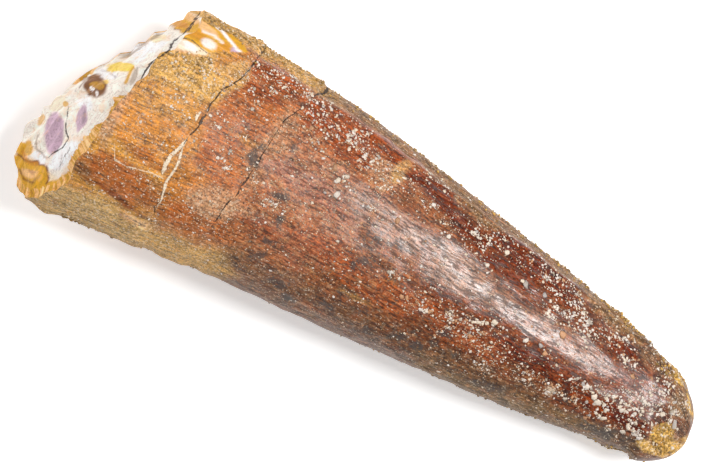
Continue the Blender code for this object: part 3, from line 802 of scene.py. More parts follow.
def crown_flow(dist, angle):
    """A pattern's own place on the enamel: the distance along it, and the section's half axes times
    the angle's cosine and sine, which keep their size over the tip."""
    half_width, half_height, _, _ = section(np.minimum(dist, DOME_START))
    parts = np.broadcast_arrays(dist, half_width * np.cos(angle), half_height * np.sin(angle))
    return np.stack(parts, axis=-1)


def crown_relief(dist, angle):
    """How far the worn enamel stands out from its smooth form, in mm: long swells, the cutting
    edges, the steps at the cracks, and lumps and pits that fall off as a bell curve."""
    _, half_height, _, _ = section(np.minimum(dist, DOME_START))
    cells = crown_flow(dist, angle) / (SWELL_LENGTH, SWELL_WIDTH, SWELL_WIDTH)
    relief = noises(cells, (SWELL, 1.0, 3)) + noises(cells * 2.3, (0.4 * SWELL, 1.0, 4))
    keel_fade = np.clip((LENGTH - dist) / KEEL_TIP_FADE, 0.0, 1.0)
    keel_fade = keel_fade * np.clip(dist / KEEL_ROOT_FADE, 0.2, 1.0)
    for degrees, height, width in KEELS:
        relief = relief + height * keel_fade * np.exp(-((angle_gap(angle, degrees) / width) ** 2))
    seen_along, seen_across = seen_from_above(dist, angle)
    for line, step in zip((FIRST_CRACK, SECOND_CRACK), CRACK_STEPS):
        past, _ = line_gap(line, seen_across, seen_along)
        fall = np.exp(-np.abs(past) / STEP_REACH)
        relief = relief + step * np.clip(-past / STEP_LENGTH, -1.0, 1.0) * fall
    for place, degrees, height, radius in LUMPS:
        gap = np.radians(angle_gap(angle, degrees)) * half_height
        relief = relief + height * np.exp(-(((dist - place) ** 2 + gap**2) / radius**2))
    return relief


def break_distance(y, z):
    """Distance of the broken root at a place across it: the furthest facet, cut into ledges, then
    roughened by noise and by lumps and pits."""
    dist = np.max([start + along_y * y + along_z * z for start, along_y, along_z in BREAK_FACETS], axis=0)
    flat = np.stack([np.zeros_like(y), y, z], axis=-1)
    band = dist / TERRACE + noises(flat, TERRACE_WAVER)
    within = band - np.floor(band)
    off_middle = np.hypot(y - BREAK_MIDDLE[0], z - BREAK_MIDDLE[1])
    ledge = np.clip((within - 0.7) / 0.3, 0.0, 1.0) - within
    dist = dist + TERRACE_DEPTH * ledge * (1.0 - np.exp(-((off_middle / TERRACE_REACH) ** 2)))
    dist = dist + noises(flat, *ROOT_NOISE)
    for place_y, place_z, height, radius in BREAK_LUMPS:
        dist = dist - height * np.exp(-((y - place_y) ** 2 + (z - place_z) ** 2) / radius**2)
    return dist


def rim_distance(angle):
    """Distance at which the crown's outline meets the broken root: an aim repeated twelve times,
    each halfway to the root's own distance there, then notched."""
    unit_y, unit_z = around(angle)
    dist = np.full_like(angle, 6.0)
    for _ in range(12):
        half_width, half_height, middle_y, middle_z = section(dist)
        met = break_distance(middle_y + half_width * unit_y, middle_z + half_height * unit_z)
        dist = 0.5 * dist + 0.5 * met
    return dist + RIM_ROUGHNESS * np.sin(RIM_TEETH * angle * 0.5) * np.sin(RIM_WAVES * angle)


def unit_way(vectors):
    """Vectors brought to a length of one."""
    return vectors / np.maximum(np.linalg.norm(vectors, axis=-1, keepdims=True), 1e-9)


def beyond_flake(points, number):
    """How far points stand past a scar's plane, below zero on the near side, and its facing."""
    place, facing = FLAKES[number]
    way = unit_way(np.array(facing))
    return (points - place) @ way, way


def strike_flakes(points):
    """Every point that stands beyond a scar is brought back onto it."""
    for number in range(len(FLAKES)):
        beyond, way = beyond_flake(points, number)
        points = points - np.maximum(beyond, 0.0)[..., None] * way
    return points


def tooth_form(stage, angle, extra=0.0):
    """Places in mm. Stage 0 is the middle of the broken root, 1 its rim, 2 the start of the tip's
    dome and 3 the tip. From 0 to 1 the rim shrinks onto the middle and takes the root's own
    distance, from 1 to 2 a section is carried along, and from 2 to 3 it closes. Extra stands out
    from the crown. Also returns the distance before flaking and the rim's distance."""
    unit_y, unit_z = around(angle)
    rim = rim_distance(angle)
    round_tip = np.clip(stage - 2.0, 0.0, 1.0)
    dist = rim + (DOME_START - rim) * np.clip(stage - 1.0, 0.0, 1.0)
    dist = dist + (LENGTH - DOME_START) * np.sin(0.5 * np.pi * round_tip)
    half_width, half_height, middle_y, middle_z = section(dist)
    relief = crown_relief(dist, angle) * np.cos(0.5 * np.pi * round_tip) + extra
    y = middle_y + (half_width + relief) * unit_y
    z = middle_z + (half_height + relief) * unit_z

    share = np.clip(stage, 0.0, 1.0)
    y = BREAK_MIDDLE[0] + (y - BREAK_MIDDLE[0]) * share
    z = BREAK_MIDDLE[1] + (z - BREAK_MIDDLE[1]) * share
    near_rim = np.clip((share - 0.8) / 0.2, 0.0, 1.0)
    face = break_distance(y, z)
    place = np.where(stage < 1.0, face + (rim - face) * near_rim, dist)
    return np.stack([place, y, z], axis=-1), dist, np.broadcast_to(rim, place.shape)


def finish_form(points, share):
    """Flaked, grained with noise in each direction, and kept above the floor."""
    points = strike_flakes(points)
    grain = np.stack([lattice_noise(points, GRAIN_CELL, seed) for seed in GRAIN_SEEDS], axis=-1)
    points = points + GRAIN * grain * np.clip(share * 1.5, 0.0, 1.0)[..., None]
    points[..., 2] = np.maximum(points[..., 2], 0.0)
    return points


def to_frame(points):
    """From mm along the tooth to metres in the object's frame."""
    return (points - (ORIGIN_ALONG, ORIGIN_ACROSS, 0.0)) * MM


def crown_place(along, angle):
    """Stage of a place on the crown or the tip at a distance and an angle."""
    rim = rim_distance(angle)
    on_crown = 1.0 + (along - rim) / (DOME_START - rim)
    past = np.clip((along - DOME_START) / (LENGTH - DOME_START), 0.0, 0.995)
    on_tip = 2.0 + np.arcsin(past) / (0.5 * np.pi)
    return np.where(along > DOME_START, on_tip, np.maximum(on_crown, 1.0))


def tone_table(tones):
    """Each tone's colour with its sandiness and gloss, as five numbers."""
    return {name: np.array((*getattr(tones, name), *finish)) for name, finish in FINISH.items()}


def ellipse_reach(along, across, at, over, long, wide, turn):
    """How far out a place lies in a turned ellipse: 0 at its middle, 1 on its outline."""
    cosine, sine = np.cos(np.radians(turn)), np.sin(np.radians(turn))
    step, side = along - at, across - over
    return np.hypot((step * cosine + side * sine) / long, (side * cosine - step * sine) / wide)


def lay_zones(layer, table, zones, along, across, soft=0.3):
    """Patches laid over one another: each is an ellipse, full where its reach is softness short of
    1 and gone where it is as much past 1."""
    for name, *ellipse, strength in zones:
        share = strength * smooth(1.0 + soft, 1.0 - soft, ellipse_reach(along, across, *ellipse))
        layer = layer + share[..., None] * (table[name] - layer)
    return layer


def stain_strength(along, across):
    """How stained a place is: the strongest of the stains there, falling off as a bell curve."""
    fades = (
        strength * np.exp(-0.6 * ellipse_reach(along, across, *ellipse) ** 2) for *ellipse, strength in STAINS
    )
    return np.max(np.stack(list(fades)), axis=0)


def speck_share(along, across):
    """How many specks a place has: the sum of the clusters' bell curves, from 0 to 1."""
    total = 0.08
    for *ellipse, count, _, _, _ in SPECK_CLUSTERS:
        most = min(count / (ellipse[2] * ellipse[3] * 14.0), 0.9)
        total = total + most * np.exp(-0.7 * ellipse_reach(along, across, *ellipse) ** 2)
    return np.clip(total, 0.0, 1.0)


def lay_strokes(layer, table, strokes, along, across):
    """Strokes laid over one another: each covers what lies within its half width of its line, the
    nearest place on every stretch being the foot of the perpendicular held between its ends."""
    for name, reach, strength, line in strokes:
        gap = np.full(along.shape, np.inf)
        for (start_s, start_t), (end_s, end_t) in zip(line[:-1], line[1:]):
            step_s, step_t = end_s - start_s, end_t - start_t
            share = ((along - start_s) * step_s + (across - start_t) * step_t) / (step_s**2 + step_t**2)
            share = np.clip(share, 0.0, 1.0)
            off_s, off_t = along - start_s - share * step_s, across - start_t - share * step_t
            gap = np.minimum(gap, np.hypot(off_s, off_t))
        cover = strength * smooth(reach + STROKE_SOFTNESS, reach - STROKE_SOFTNESS, gap)
        layer = layer + cover[..., None] * (table[name] - layer)
    return layer


def crown_layer(table, dist, angle, points):
    """The crown's tones: a run along it, then bands beside the outline, then patches, all with
    their places shaken by noise."""
    along, across = (np.broadcast_to(part, points.shape[:-1]) for part in seen_from_above(dist, angle))
    shaken, aside = along + noises(points, *ALONG_SHAKE), across + noises(points, *ACROSS_SHAKE)
    stops = np.array([stop for stop, _ in CROWN_RUN])
    run = np.array([table[name] for _, name in CROWN_RUN])
    layer = np.stack([np.interp(shaken, stops, run[:, column]) for column in range(5)], axis=-1)
    half_width, _, middle_y, _ = section(dist)
    for name, start, end, side, width, strength in EDGE_BANDS:
        inside = half_width - side * (aside - middle_y)
        share = strength * smooth(width * 1.4, width * 0.5, inside)
        share = share * smooth(start - BAND_SOFTNESS, start + BAND_SOFTNESS, shaken)
        share = share * smooth(end + BAND_SOFTNESS, end - BAND_SOFTNESS, shaken)
        layer = layer + share[..., None] * (table[name] - layer)
    return lay_zones(layer, table, CROWN_ZONES, shaken, aside)


def stone_layer(table, points, ground, zones, strokes, shakes, soft):
    """The tones of the broken root or its scar: a ground, then patches and strokes placed as seen
    from above and shaken by a noise along and one across."""
    seen = as_pictured(*np.moveaxis(points, -1, 0))
    along, across = (place + noises(points, shake) for place, shake in zip(seen, shakes))
    layer = np.broadcast_to(ground, (*points.shape[:-1], 5))
    layer = lay_zones(layer, table, zones, along, across, soft)
    return lay_strokes(layer, table, strokes, along, across)


def fine_relief(sizes, dist, angle, points, sandy):
    """Height of the fine forms in mm: crust noise where it is sandy, furrows that run along the
    crown elsewhere, and grooves at the cracks as narrow bell curves."""
    relief = sizes.crust_height * sandy * noises(points, *CRUST_NOISE)
    furrow = crown_flow(dist, angle) / FURROW_CELL
    relief = relief + sizes.furrow_depth * (1.0 - sandy) * lattice_noise(furrow, 1.0, 63)
    along, across = seen_from_above(dist, angle)
    for line in (FIRST_CRACK, SECOND_CRACK):
        past, width = line_gap(line, across, along)
        depth = sizes.groove_depth * np.clip(width / 0.1, 0.0, 1.0)
        relief = relief - depth * np.exp(-((past / GROOVE_REACH) ** 2))
    past, width = line_gap(CRACK_FILL, across, along)
    filled = smooth(width + 0.15, width - 0.1, np.abs(past)) * np.clip(width / 0.2, 0.0, 1.0)
    return relief + FILL_HEIGHT * filled


def skin_corners(rows, around_count):
    """Vertex numbers of a closed skin: a point, then rows of points, then a point. Returns all the
    corners in a row and the number of corners of each face."""
    column = np.arange(around_count)
    following = (column + 1) % around_count
    first = np.stack([np.zeros_like(column), 1 + following, 1 + column], axis=-1)
    start = 1 + np.arange(rows - 1)[:, None] * around_count
    beyond = start + around_count
    quads = np.stack([start + column, start + following, beyond + following, beyond + column], axis=-1)
    quads = quads.reshape(-1, 4)
    last_row = 1 + (rows - 1) * around_count
    tip = last_row + around_count
    last = np.stack([last_row + column, last_row + following, np.full_like(column, tip)], axis=-1)
    corners = np.concatenate([first.ravel(), quads.ravel(), last.ravel()])
    counts = np.concatenate([np.full(around_count, 3), np.full(len(quads), 4), np.full(around_count, 3)])
    return corners, counts


def mesh_from_arrays(name, points, corners, counts, uv):
    """A mesh object from arrays: places in metres, corners in a row, corners per face, and a UV
    place for each corner."""
    mesh = bpy.data.meshes.new(name)
    mesh.vertices.add(len(points))
    mesh.vertices.foreach_set("co", np.ascontiguousarray(points, dtype=np.float32).ravel())
    mesh.loops.add(len(corners))
    mesh.loops.foreach_set("vertex_index", corners.astype(np.int32))
    mesh.polygons.add(len(counts))
    starts = np.concatenate([[0], np.cumsum(counts)[:-1]])
    mesh.polygons.foreach_set("loop_start", starts.astype(np.int32))
    mesh.update(calc_edges=True)
    layer = mesh.uv_layers.new(name="OFBake")
    layer.uv.foreach_set("vector", uv.astype(np.float32).ravel())
    mesh.shade_smooth()
    piece = bpy.data.objects.new(name, mesh)
    bpy.context.scene.collection.objects.link(piece)
    return piece


def store(piece, layers):
    """Store a value for each vertex: a number, a vector, or a colour where the name ends in tone."""
    for name, values in layers.items():
        kind, field = ("FLOAT", "value") if values.ndim == 1 else ("FLOAT_VECTOR", "vector")
        if name.endswith("tone"):
            kind, field = "FLOAT_COLOR", "color"
            values = np.concatenate([values, np.ones((len(values), 1))], axis=-1)
        attribute = piece.data.attributes.new(name, kind, "POINT")
        attribute.data.foreach_set(field, np.ascontiguousarray(values, dtype=np.float32).ravel())


def with_poles(rows):
    """A grid of rows whose first and last row are a pole each, as one list of points."""
    return np.concatenate([rows[:1, 0], rows[1:-1].reshape(-1, *rows.shape[2:]), rows[-1:, 0]])


class Wire:
    """A socket in an expression: each operator adds a Math node."""

    def __init__(self, kit, socket):
        self.kit = kit
        self.socket = socket

    def __add__(self, other):
        return self.kit.math("ADD", self, other)

    def __radd__(self, other):
        return self.kit.math("ADD", other, self)

    def __sub__(self, other):
        return self.kit.math("SUBTRACT", self, other)

    def __rsub__(self, other):
        return self.kit.math("SUBTRACT", other, self)

    def __mul__(self, other):
        return self.kit.math("MULTIPLY", self, other)

    def __rmul__(self, other):
        return self.kit.math("MULTIPLY", other, self)

    def __abs__(self):
        return self.kit.math("ABSOLUTE", self)

    def __lt__(self, other):
        return self.kit.math("LESS_THAN", self, other)


class Finish:
    """A material whose nodes are added by expressions and by one method."""

    def __init__(self, name):
        self.material = bpy.data.materials.new(name)
        self.material.use_nodes = True
        self.tree = self.material.node_tree
        self.shader = self.tree.nodes["Principled BSDF"]

    def node(self, kind, settings=None, sockets=None):
        """Add a node: its settings first, then the values or links of its sockets."""
        node = self.tree.nodes.new(kind)
        for key, value in (settings or {}).items():
            setattr(node, key, value)
        for key, value in (sockets or {}).items():
            self.feed(node.inputs[key], value)
        return node

    def feed(self, socket, value):
        """Link a wire to a socket, or set its value."""
        if isinstance(value, Wire):
            self.tree.links.new(value.socket, socket)
        elif socket.type == "RGBA" and len(value) == 3:
            socket.default_value = (*value, 1.0)
        else:
            socket.default_value = value

    def wire(self, node, output=0):
        return Wire(self, node.outputs[output])

    def math(self, operation, *values, kind="ShaderNodeMath"):
        return self.wire(self.node(kind, {"operation": operation}, dict(enumerate(values))))

    def vector_math(self, operation, *values):
        return self.math(operation, *values, kind="ShaderNodeVectorMath")

    def stretch(self, vector, factors):
        """A vector times a factor for each axis."""
        return self.vector_math("MULTIPLY", vector, factors)

    def brighten(self, colour, factor):
        """A colour times a number."""
        node = self.node("ShaderNodeVectorMath", {"operation": "SCALE"}, {0: colour, "Scale": factor})
        return self.wire(node)

    def mix(self, factor, first, second):
        """Two colours mixed by a number from 0 to 1."""
        settings = {"data_type": "RGBA", "clamp_factor": True}
        return self.wire(self.node("ShaderNodeMix", settings, {0: factor, 6: first, 7: second}), 2)

    def lay(self, colour, layers):
        """A colour with others laid over it in turn: how much, the colour and its brightness."""
        for share, over, brightness in layers:
            colour = self.mix(share, colour, self.brighten(over, brightness))
        return colour

    def step(self, value, low, high):
        """0 at low, 1 at high, and an s-shaped rise between."""
        settings = {"interpolation_type": "SMOOTHSTEP"}
        sockets = {"Value": value, "From Min": low, "From Max": high}
        return self.wire(self.node("ShaderNodeMapRange", settings, sockets))

    def noise(self, vector, scale=1.0, detail=2.0, roughness=0.5, distortion=0.0):
        """Cloudy noise, near 0.5 in the middle."""
        sockets = {
            "Vector": vector, "Scale": scale, "Detail": detail, "Roughness": roughness,
            "Distortion": distortion,
        }
        return self.wire(self.node("ShaderNodeTexNoise", {}, sockets))

    def cells(self, vector, scale):
        """Round cells: distance from the cell's middle, and two numbers drawn for the cell."""
        node = self.node("ShaderNodeTexVoronoi", {}, {"Vector": vector, "Scale": scale})
        split = self.node("ShaderNodeSeparateColor", {}, {0: self.wire(node, 1)})
        return self.wire(node, 0), self.wire(split, 0), self.wire(split, 1)

    def attribute(self, name, output):
        """A stored value: output Color, Vector or Fac."""
        return self.wire(self.node("ShaderNodeAttribute", {"attribute_name": name}), output)

    def parts(self, vector):
        """The three numbers of a vector."""
        node = self.node("ShaderNodeSeparateXYZ", {}, {0: vector})
        return tuple(self.wire(node, output) for output in range(3))

    def spot(self):
        """Object coordinates in mm."""
        place = self.wire(self.node("ShaderNodeTexCoord"), "Object")
        return self.stretch(place, (1.0 / MM,) * 3)

    def bump(self, height):
        """A normal from a height in mm."""
        return self.wire(self.node("ShaderNodeBump", {}, {"Height": height, "Distance": MM, "Strength": 1.0}))

    def close(self, colour, roughness, normal, ior=1.5):
        """Feed the shader, with the colour held between black and nearly white."""
        held = self.vector_math("MINIMUM", self.vector_math("MAXIMUM", colour, (0.0,) * 3), (0.9,) * 3)
        self.feed(self.shader.inputs["Base Color"], held)
        self.feed(self.shader.inputs["Roughness"], roughness)
        self.feed(self.shader.inputs["Normal"], normal)
        self.shader.inputs["IOR"].default_value = ior
        self.shader.inputs["Metallic"].default_value = 0.0
        return self.material


def line_masks(kit, group, raggedness):
    """1 on each of a group's three lines: where its gap is within its half width made ragged, with
    a soft edge."""
    gaps, widths = (kit.parts(kit.attribute(f"{group}_{part}", "Vector")) for part in ("gaps", "widths"))
    masks = []
    for gap, width, ragged in zip(gaps, widths, raggedness):
        reach = width * ragged
        masks.append(kit.step(reach - abs(gap), -0.03, 0.04) * kit.step(reach, 0.0, 0.03))
    return masks


def speck_mask(kit, vector, scale, share, size, soft=0.12):
    """Round specks in some of the cells: share says in how many."""
    distance, draw, vary = kit.cells(vector, scale)
    inside = kit.step(size * (0.55 + 0.6 * vary) - distance, 0.0, soft)
    return inside * (draw < share), vary


def enamel_finish(tones, sizes):
    """Crown, broken root and scar in one finish, parted by the stored gaps."""
    kit = Finish("fossil_enamel_finish")
    spot = kit.spot()
    flow = kit.attribute("flow", "Vector")
    crown_tone, broken_tone, scar_tone = (
        kit.attribute(name, "Color") for name in ("crown_tone", "broken_tone", "scar_tone")
    )
    rim_gap, rim_width, scar_gap, crystal_gap, stain = (
        kit.attribute(name, "Fac") for name in ("rim_gap", "rim_width", "scar_gap", "crystal_gap", "stain")
    )
    sandy, glossy, speckled = kit.parts(kit.attribute("crown_habit", "Vector"))

    ragged = 3.8 * kit.noise(spot, 1.9, 3.0, 0.7) - 1.2
    coarse = kit.noise(spot, 0.55, 3.0, 0.6)
    mottle = kit.noise(spot, 1.05, 3.0, 0.75)
    cloud = kit.noise(spot, 1.6, 3.0, 0.65)
    dust = kit.noise(spot, 5.5, 2.0, 0.6)
    streak = kit.noise(kit.stretch(flow, (0.22, 2.6, 2.6)), 1.0, 3.0, 0.6, 0.3)
    fibre = kit.noise(kit.stretch(flow, (0.8, 6.5, 6.5)), 1.0, 2.0, 0.6, 0.3)
    dashes = kit.noise(kit.stretch(flow, (1.5, 4.6, 4.6)), 1.0, 2.0, 0.7)
    wrinkle_scale = (1.0 / sizes.wrinkle_along, 1.0 / sizes.wrinkle_across, 1.0 / sizes.wrinkle_across)
    wrinkle = kit.noise(kit.stretch(flow, wrinkle_scale), 1.0, 2.0, 0.55, 0.4)
    grain_gap, grain_draw, grain_vary = kit.cells(spot, 1.0 / sizes.sand_size)

    # The crown's shade, then the masks of what is laid over its tone
    clean = 1.0 - sandy
    matt = 1.0 - glossy
    fresh = kit.step(kit.parts(flow)[0], 12.0, 24.0)
    shade = 1.0 + 1.9 * (streak - 0.5) + 2.8 * (fibre - 0.5) * clean + 1.1 * (cloud - 0.5)
    shade = shade + (1.8 + 1.2 * fresh) * (dust - 0.5) + (0.3 + 0.4 * sandy) * (grain_draw - 0.5)
    shade = kit.math("MAXIMUM", shade, 0.15)
    red_cloud = kit.step(coarse, 0.5, 0.68) * 0.35 * clean
    pale_mottle = kit.step(mottle, 0.56, 0.64) * 0.3 * matt
    red_mottle = kit.step(mottle, 0.43, 0.35) * 0.35 * matt
    dim = 1.0 - 0.8 * glossy
    dull = kit.step(cloud, 0.54, 0.72) * (0.16 + 0.2 * sandy) * dim
    crest = kit.step(wrinkle, 0.53, 0.66) * 0.5 * clean * dim * (0.4 + 0.6 * fresh)
    # Painted shade: the wrinkles' troughs, which the bump below sinks, are darkened in colour
    shaded_trough = kit.step(wrinkle, 0.49, 0.37) * clean * (0.16 + 0.56 * fresh)
    pale_grain = kit.step(grain_vary, 0.82, 0.9) * (0.1 + 0.4 * sandy) * dim
    dark_grain = kit.step(grain_vary, 0.18, 0.1) * (0.25 + 0.1 * sandy) * (1.0 - 0.6 * glossy)
    pale_dash = kit.step(dashes, 0.57, 0.66) * (0.5 - 0.4 * glossy) * (1.0 - 0.75 * sandy)
    dark_dash = kit.step(dashes, 0.42, 0.34) * (0.6 - 0.5 * sandy) * (0.15 + 0.85 * fresh)
    blotch = kit.step(1.4 * stain + 3.2 * (mottle - 0.5) + 2.4 * (dust - 0.5), 0.5, 0.72)
    small, small_vary = speck_mask(kit, kit.stretch(flow, (0.8, 1.0, 1.0)), 5.2, speckled * 0.4, 0.36)
    tiny, _ = speck_mask(kit, spot, 5.6, 0.03 + 0.17 * matt + speckled * 0.2, 0.42)
    speck = kit.math("MAXIMUM", small, tiny * 0.9)
    crumbly = 0.15 + 1.5 * dust
    first, second, fill = line_masks(kit, "crack", (ragged, ragged, crumbly))
    vein, scar_line, branch = line_masks(kit, "vein", (ragged, ragged, crumbly))
    dark_line = kit.math("MAXIMUM", first, second)
    fill = kit.math("MAXIMUM", fill, branch)
    pale_line = kit.math("MAXIMUM", fill, vein * 0.75) * kit.step(dashes, 0.32, 0.46)
    crown = kit.lay(kit.brighten(crown_tone, shade), (
        (red_cloud, tones.rust, shade),
        (pale_mottle, tones.honey_sand, 0.9 * shade),
        (red_mottle, tones.rust, 0.7 * shade),
        (dull, tones.grey_tan, shade),
        (crest, tones.pink_sand, shade),
        # painted shade in the wrinkles' troughs
        (shaded_trough, crown_tone, 0.18),
        (pale_grain, tones.cream, 1.0),
        (dark_grain * (0.4 + 0.6 * fresh), crown_tone, 0.35),
        (pale_dash, tones.peach, 0.85),
        (dark_dash, crown_tone, 0.25),
        (blotch * 0.8, tones.slate, 0.5 + dust),
        (speck * (0.45 + 0.4 * small_vary), tones.cream, 0.6 + 0.7 * dust),
        (pale_line, tones.cream, 0.45 + 0.9 * dust),
        (dark_line * 0.9, tones.dark, 1.0),
    ))

    crown_height = sizes.wrinkle_height * (wrinkle - 0.5) * (0.8 + 0.4 * glossy) * clean
    crown_height = crown_height + (0.004 + 0.06 * sandy) * (0.5 - grain_gap) + 0.03 * (cloud - 0.5)
    crown_height = crown_height + 0.02 * speck - 0.12 * dark_line + 0.05 * fill
    crown_rough = 0.66 - 0.41 * glossy + 0.25 * sandy + 0.3 * (cloud - 0.5) + 0.3 * shaded_trough + 0.2 * speck

    # The broken root
    marble = kit.noise(spot, 0.8, 4.0, 0.6, 1.2)
    vein_line = kit.step(abs(marble - 0.5), 0.03, 0.0)
    hatch = kit.noise(kit.stretch(spot, (4.0, 0.9, 2.0)), 1.0, 2.0, 0.6, 0.8)
    fibres = kit.noise(kit.stretch(flow, (0.5, 1.9, 1.9)), 1.0, 2.0, 0.6)
    border = kit.step(rim_gap + rim_width * (0.5 + 1.0 * fibres), -0.06, 0.06)
    border_tone = kit.mix(kit.step(fibres, 0.42, 0.62), tones.mustard, tones.peach)
    border_tone = kit.mix(kit.step(cloud, 0.5, 0.62) * 0.5, border_tone, tones.amber_wood)
    root_dark, root_side, corner = line_masks(kit, "root", (ragged,) * 3)
    pale_shade = 1.06 + 0.6 * (marble - 0.5) + 0.3 * (dust - 0.5) + 0.4 * (hatch - 0.5)
    broken = kit.lay(kit.brighten(broken_tone, pale_shade), (
        (vein_line * 0.35, tones.grey_tan, 0.6),
        (kit.step(coarse, 0.54, 0.66) * 0.35, tones.peach, 1.0),
        (border, border_tone, 0.95 + 1.2 * (dust - 0.5) + 1.6 * (fibres - 0.5)),
        (kit.math("MAXIMUM", root_dark, root_side * 0.7) * 0.9, tones.dark, 1.0),
    ))
    crystal = kit.step(crystal_gap + 0.3 * (cloud - 0.5), 0.06, -0.06)

    # The scar
    band = kit.noise(kit.stretch(spot, (0.35, 2.2, 1.4)), 1.0, 3.0, 0.55, 0.4)
    scar = kit.lay(kit.brighten(scar_tone, 1.0 + 0.9 * (band - 0.5) + 0.5 * (dust - 0.5)), (
        (kit.step(band, 0.55, 0.68) * 0.35, tones.peach, 1.0),
        (scar_line * 0.8, tones.slate, 1.1),
    ))

    on_root = kit.step(rim_gap + 0.3 * (cloud - 0.5), 0.06, -0.06)
    in_scar = kit.step(scar_gap + 0.25 * (cloud - 0.5), -0.22, -0.14)
    colour = kit.mix(in_scar, kit.mix(on_root, crown, broken), scar)
    colour = kit.mix(corner * 0.92, colour, tones.dark)
    open_stone = kit.math("MAXIMUM", on_root, in_scar)
    stone_height = 0.08 * (marble - 0.5) + 0.03 * (dust - 0.5) - 0.1 * root_dark
    stone_height = stone_height + 0.12 * border * (fibres - 0.5)
    stone_rough = 0.85 + 0.4 * (cloud - 0.5) - 0.05 * crystal
    height = crown_height + open_stone * (stone_height - crown_height) - 0.14 * corner
    rough = crown_rough + open_stone * (stone_rough - crown_rough)
    return kit.close(colour, rough, kit.bump(height), 1.6)


def crumb_finish(name, roughness):
    """Finish for crumbs: each crumb's own stored tone, clouded and grained."""
    kit = Finish(name)
    spot = kit.spot()
    cloud = kit.noise(spot, 3.0, 2.0, 0.6)
    dust = kit.noise(spot, 9.0, 2.0, 0.6)
    colour = kit.brighten(kit.attribute("crumb_tone", "Color"), 0.5 + 0.35 * cloud + 0.35 * dust)
    return kit.close(colour, roughness + 0.2 * (cloud - 0.5), kit.bump(0.03 * (dust - 0.5)))


def crumb_shapes(rng, points, outward, forward, size, flat, rows, sides):
    """Small closed pebbles in one mesh. Each is a ball of a few rows and sides whose radius is
    shaken point by point, squeezed along its outward way and turned about it."""
    count = len(points)
    sideways = np.cross(outward, forward)
    turn = rng.uniform(0.0, 2.0 * np.pi, count)
    first = np.cos(turn)[:, None] * forward + np.sin(turn)[:, None] * sideways
    second = np.cross(outward, first)
    climb = np.linspace(0.0, np.pi, rows + 2)[1:-1]
    sweep = np.linspace(0.0, 2.0 * np.pi, sides, endpoint=False)
    reach = np.sin(climb)[:, None]
    parts = np.broadcast_arrays(reach * np.cos(sweep), reach * np.sin(sweep), np.cos(climb)[:, None])
    rings = np.stack(parts, axis=-1).reshape(-1, 3)
    ball = np.concatenate([[(0.0, 0.0, 1.0)], rings, [(0.0, 0.0, -1.0)]])
    swell = 1.0 + rng.uniform(-0.45, 0.4, (count, len(ball)))
    long = rng.uniform(0.7, 1.6, count)
    body = ball[None] * swell[..., None] * (0.5 * size)[:, None, None]
    shape = body[..., :1] * (first * long[:, None])[:, None] + body[..., 1:2] * second[:, None]
    shape = shape + body[..., 2:] * (outward * flat[:, None])[:, None]
    places = points[:, None] + shape
    corners, counts = skin_corners(rows, sides)
    corners = (corners + (np.arange(count) * len(ball))[:, None]).ravel()
    cells = int(np.ceil(np.sqrt(count)))
    cell = np.stack([np.arange(count) % cells, np.arange(count) // cells], axis=-1)
    uv = (cell[:, None] + 0.5 + 0.35 * ball[:, :2]).reshape(-1, 2) / cells
    return places.reshape(-1, 3), corners, np.tile(counts, count), uv[corners], len(ball)


def surface_spots(along, angle):
    """Places on the crown with the outward and forward ways there, from small steps each way."""
    stage = crown_place(along, angle)
    here, here_on, here_round = (
        finish_form(tooth_form(stage + step, angle + turn)[0], np.ones_like(stage))
        for step, turn in ((0.0, 0.0), (SMALL_TURN * 0.3, 0.0), (0.0, SMALL_TURN))
    )
    forward = here_on - here
    return here, unit_way(np.cross(here_round - here, forward)), unit_way(forward)


def on_enamel(along, angle):
    """Whether a place lies on the crown: past the root's rim and off the root's scar."""
    points, _, rim = tooth_form(crown_place(along, angle), angle)
    gap, _ = beyond_flake(points, 0)
    return (along > rim + RIM_CLEARANCE) & (gap < -SCAR_CLEARANCE)


def place_of(along, across):
    """Distance and angle of a place on the upper side from where the camera shows it: an aim
    corrected four times by the miss."""
    dist, aim = along + FIRST_CORNER, across
    for _ in range(4):
        half_width, _, middle_y, _ = section(dist)
        unit = np.clip((aim - middle_y) / half_width, -0.985, 0.985)
        angle = np.arccos(np.sign(unit) * np.abs(unit) ** (0.5 * SECTION_POWER))
        shown_along, shown_across = seen_from_above(dist, angle)
        dist = dist + along - shown_along
        aim = aim + across - shown_across
    return dist, angle


def make_crumbs(name, rng, spots, size, flat, rows, sides, tones_of, finish):
    """A mesh of crumbs half sunk in the surface, kept above the floor, riding on the tooth."""
    points, outward, forward = spots
    places = points + outward * (size * flat * 0.18)[:, None]
    made = crumb_shapes(rng, places, outward, forward, size, flat, rows, sides)
    shape, corners, counts, uv, per_crumb = made
    shape[:, 2] = np.maximum(shape[:, 2], 0.0)
    piece = mesh_from_arrays(name, to_frame(shape), corners, counts, uv)
    store(piece, {"crumb_tone": np.repeat(tones_of, per_crumb, axis=0)})
    piece.data.materials.append(finish)
    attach(piece, BODY)
    return piece


